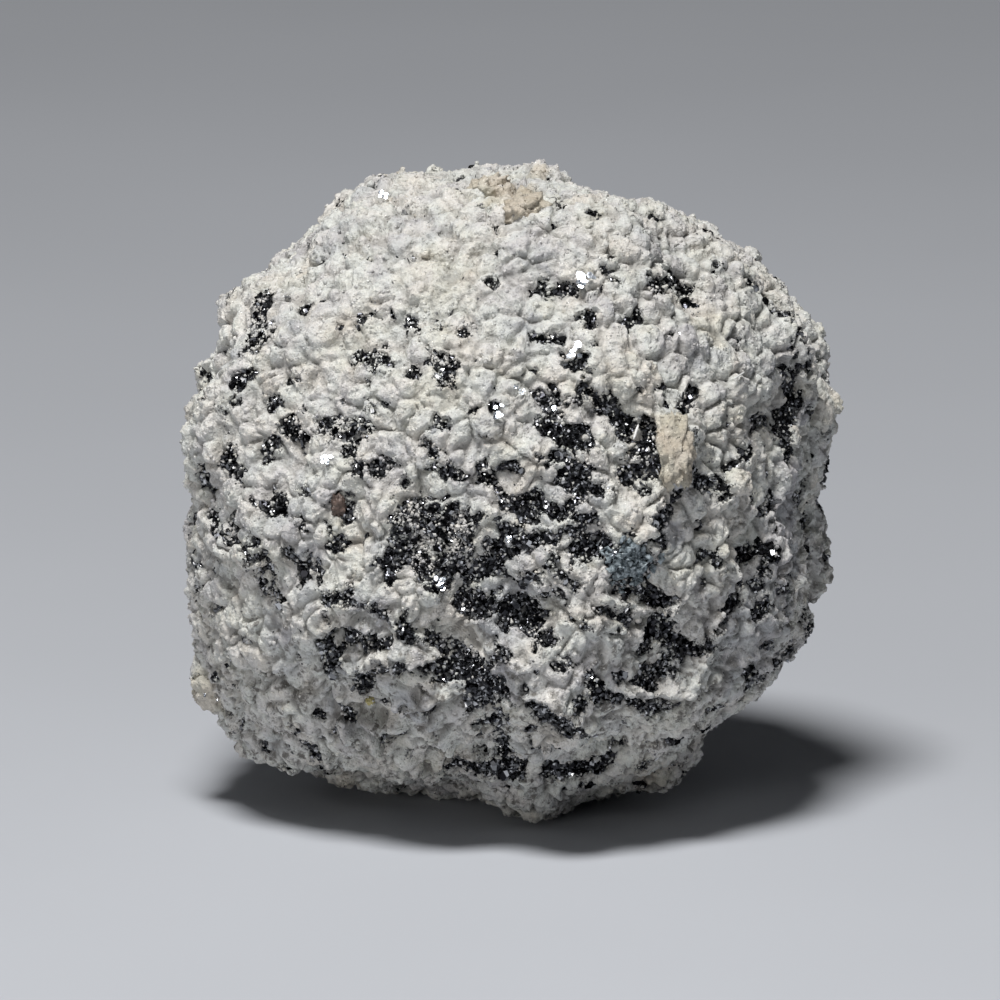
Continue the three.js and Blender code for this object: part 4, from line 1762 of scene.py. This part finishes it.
@dataclass
class GlintingPlates:
    """Clusters of flat hematite plates that stand so that most throw the main light at the viewer.

    Each cluster is given by how far right of the middle it is, how far above it, and its size.
    """

    surface: Surface
    clusters: tuple[tuple[float, float, float], ...] = (
        (1.87, 4.68, 0.28),
        (1.6, 3.12, 0.22),
        (-1.42, -2.05, 0.22),
        (-3.95, 0.7, 0.19),
        (-0.15, 1.78, 0.2),
        (-2.7, 6.65, 0.16),
        (0.38, 2.2, 0.09),
        (0.25, 2.32, 0.07),
        (1.2, 1.83, 0.09),
        (0.12, -1.05, 0.09),
        (-6.75, -4.6, 0.05),
        (-6.45, -4.7, 0.04),
        (2.5, -1.38, 0.08),
        (6.4, -3.85, 0.06),
    )
    number: int = 9
    lean: float = 0.3
    finish: StoneFinish = StoneFinish(
        "glinting plate", (0.5, 0.53, 0.58), (0.35, 0.39, 0.44), roughness=0.3, metal=0.9, pit_depth=0.001
    )
    thickness: float = 0.03
    proud: float = 0.08
    seed: int = 29

    def build(self) -> None:
        """Makes all the plates as one mesh."""
        rng = np.random.default_rng(self.seed)
        turn = turn_toward((LIGHT_SIDE + EYE).normalized())
        joined = bmesh.new()
        for right, up, size in self.clusters:
            for _ in range(self.number):
                aside, along, wide, high, tip, spin = rng.uniform(-1, 1, 6)
                reach = 0.6 * size
                place, outward = self.surface.shown(right + reach * aside, up + reach * along)
                made = bmesh.ops.create_cone(
                    joined, cap_ends=True, segments=6, radius1=MM, radius2=MM, depth=self.thickness * MM
                )["verts"]
                sizes = (size * (0.3 + 0.15 * wide), size * (0.25 + 0.12 * high), 1)
                leant = Matrix.Rotation(self.lean * tip, 3, "X") @ Matrix.Rotation(math.pi * spin, 3, "Z")
                bmesh.ops.scale(joined, verts=made, vec=sizes)
                bmesh.ops.rotate(joined, verts=made, cent=(0, 0, 0), matrix=turn @ leant)
                bmesh.ops.translate(joined, verts=made, vec=(place + MIDDLE + outward * self.proud) * MM)
        add_piece(finished("glinting_plates", joined), self.finish.material())


@dataclass(frozen=True)
class Studio:
    """A plain pale floor, one main light, a weak light to fill the shadows, and the camera."""

    floor_half: float = 1500.0
    floor_colour: Colour = (0.5, 0.52, 0.56)
    floor_patch: float = 40.0
    floor_change: float = 1.08
    floor_roughness: float = 0.9
    light_distance: float = 200.0
    key_width: float = 60.0
    key_power: float = 0.43
    key_colour: Colour = (1.0, 0.99, 0.975)
    fill_width: float = 100.0
    fill_power: float = 0.065
    fill_colour: Colour = (1.0, 0.98, 0.96)
    sky: Colour = (0.49, 0.5, 0.53, 1.0)
    sky_strength: float = 0.055
    camera_distance: float = 450.0
    sensor: float = 36.0
    frame_width: float = 22.8
    aim: Spot = (-0.068, -0.205)

    def build(self) -> None:
        """Sets up the floor, the lights and the camera."""
        self.add_floor()
        self.add_light("key", LIGHT_SIDE, self.key_width, self.key_power, self.key_colour)
        self.add_light("fill", FILL_SIDE, self.fill_width, self.fill_power, self.fill_colour)
        world = bpy.data.worlds.new("soft room")
        world.use_nodes = True
        background = world.node_tree.nodes["Background"]
        background.inputs["Color"].default_value = self.sky
        background.inputs["Strength"].default_value = self.sky_strength
        bpy.context.scene.world = world
        bpy.context.scene.view_settings.view_transform = "Standard"
        self.add_camera()

    def add_floor(self) -> None:
        """Lays a plain pale floor at the level that the specimen rests on."""
        sheet = bmesh.new()
        bmesh.ops.create_grid(sheet, x_segments=1, y_segments=1, size=self.floor_half * MM)
        mesh = finished("floor", sheet)
        floor = bpy.data.objects.new("floor", mesh)
        bpy.context.collection.objects.link(floor)
        nodes = Nodes("floor")
        lighter = tuple(self.floor_change * part for part in self.floor_colour)
        stops = ((0.3, self.floor_colour), (0.7, lighter))
        nodes.surface("Base Color", nodes.ramp(nodes.clouds(self.floor_patch), stops))
        nodes.surface("Roughness", self.floor_roughness)
        mesh.materials.append(nodes.material)

    def add_light(self, name: str, side: Vector, width: float, power: float, colour: Colour) -> None:
        """Adds a round soft light that points at the specimen's middle.

        Args:
            name: the light's name.
            side: the way from the specimen to the light.
            width: how wide it is.
            power: how strong it is, in watts.
            colour: its colour.
        """
        light = bpy.data.lights.new(name, "AREA")
        light.shape = "DISK"
        light.size = width * MM
        light.energy = power
        light.color = colour
        lamp = bpy.data.objects.new(name, light)
        lamp.location = (MIDDLE + side * self.light_distance) * MM
        lamp.rotation_euler = side.to_track_quat("Z", "Y").to_euler()
        bpy.context.collection.objects.link(lamp)

    def add_camera(self) -> None:
        """Adds the camera, at the photograph's angle and with its frame."""
        lens = bpy.data.cameras.new("camera")
        lens.sensor_width = self.sensor
        lens.lens = self.sensor * self.camera_distance / self.frame_width
        lens.clip_start = 0.01
        camera = bpy.data.objects.new("camera", lens)
        aim = MIDDLE + RIGHT * self.aim[0] + UPWARD * self.aim[1]
        camera.location = (aim + EYE * self.camera_distance) * MM
        camera.rotation_euler = EYE.to_track_quat("Z", "Y").to_euler()
        bpy.context.collection.objects.link(camera)
        bpy.context.scene.camera = camera


def main() -> None:
    """Builds the specimen piece by piece, then the studio around it."""
    logging.basicConfig(level=logging.INFO, format="%(message)s")
    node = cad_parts[NODE]
    fine = Surface(node, cuts=6, rounds=12)
    coarse = Surface(node, cuts=2, rounds=3)
    crust_map = CrustMap(fine)
    crust_map.report()
    body = HematiteBody(coarse, crust_map)
    body.build()
    crust = PaleCrust(fine, crust_map)
    pale = crust.build()
    CrustGrains(crust, body, pale).build()
    HematiteCrystals(body).build()
    BlueGreyCrystals(body.skin, fine).build()
    GlintingPlates(fine).build()
    SetGrains(fine, pale).build()
    Studio().build()


if __name__ == "__main__":
    main()
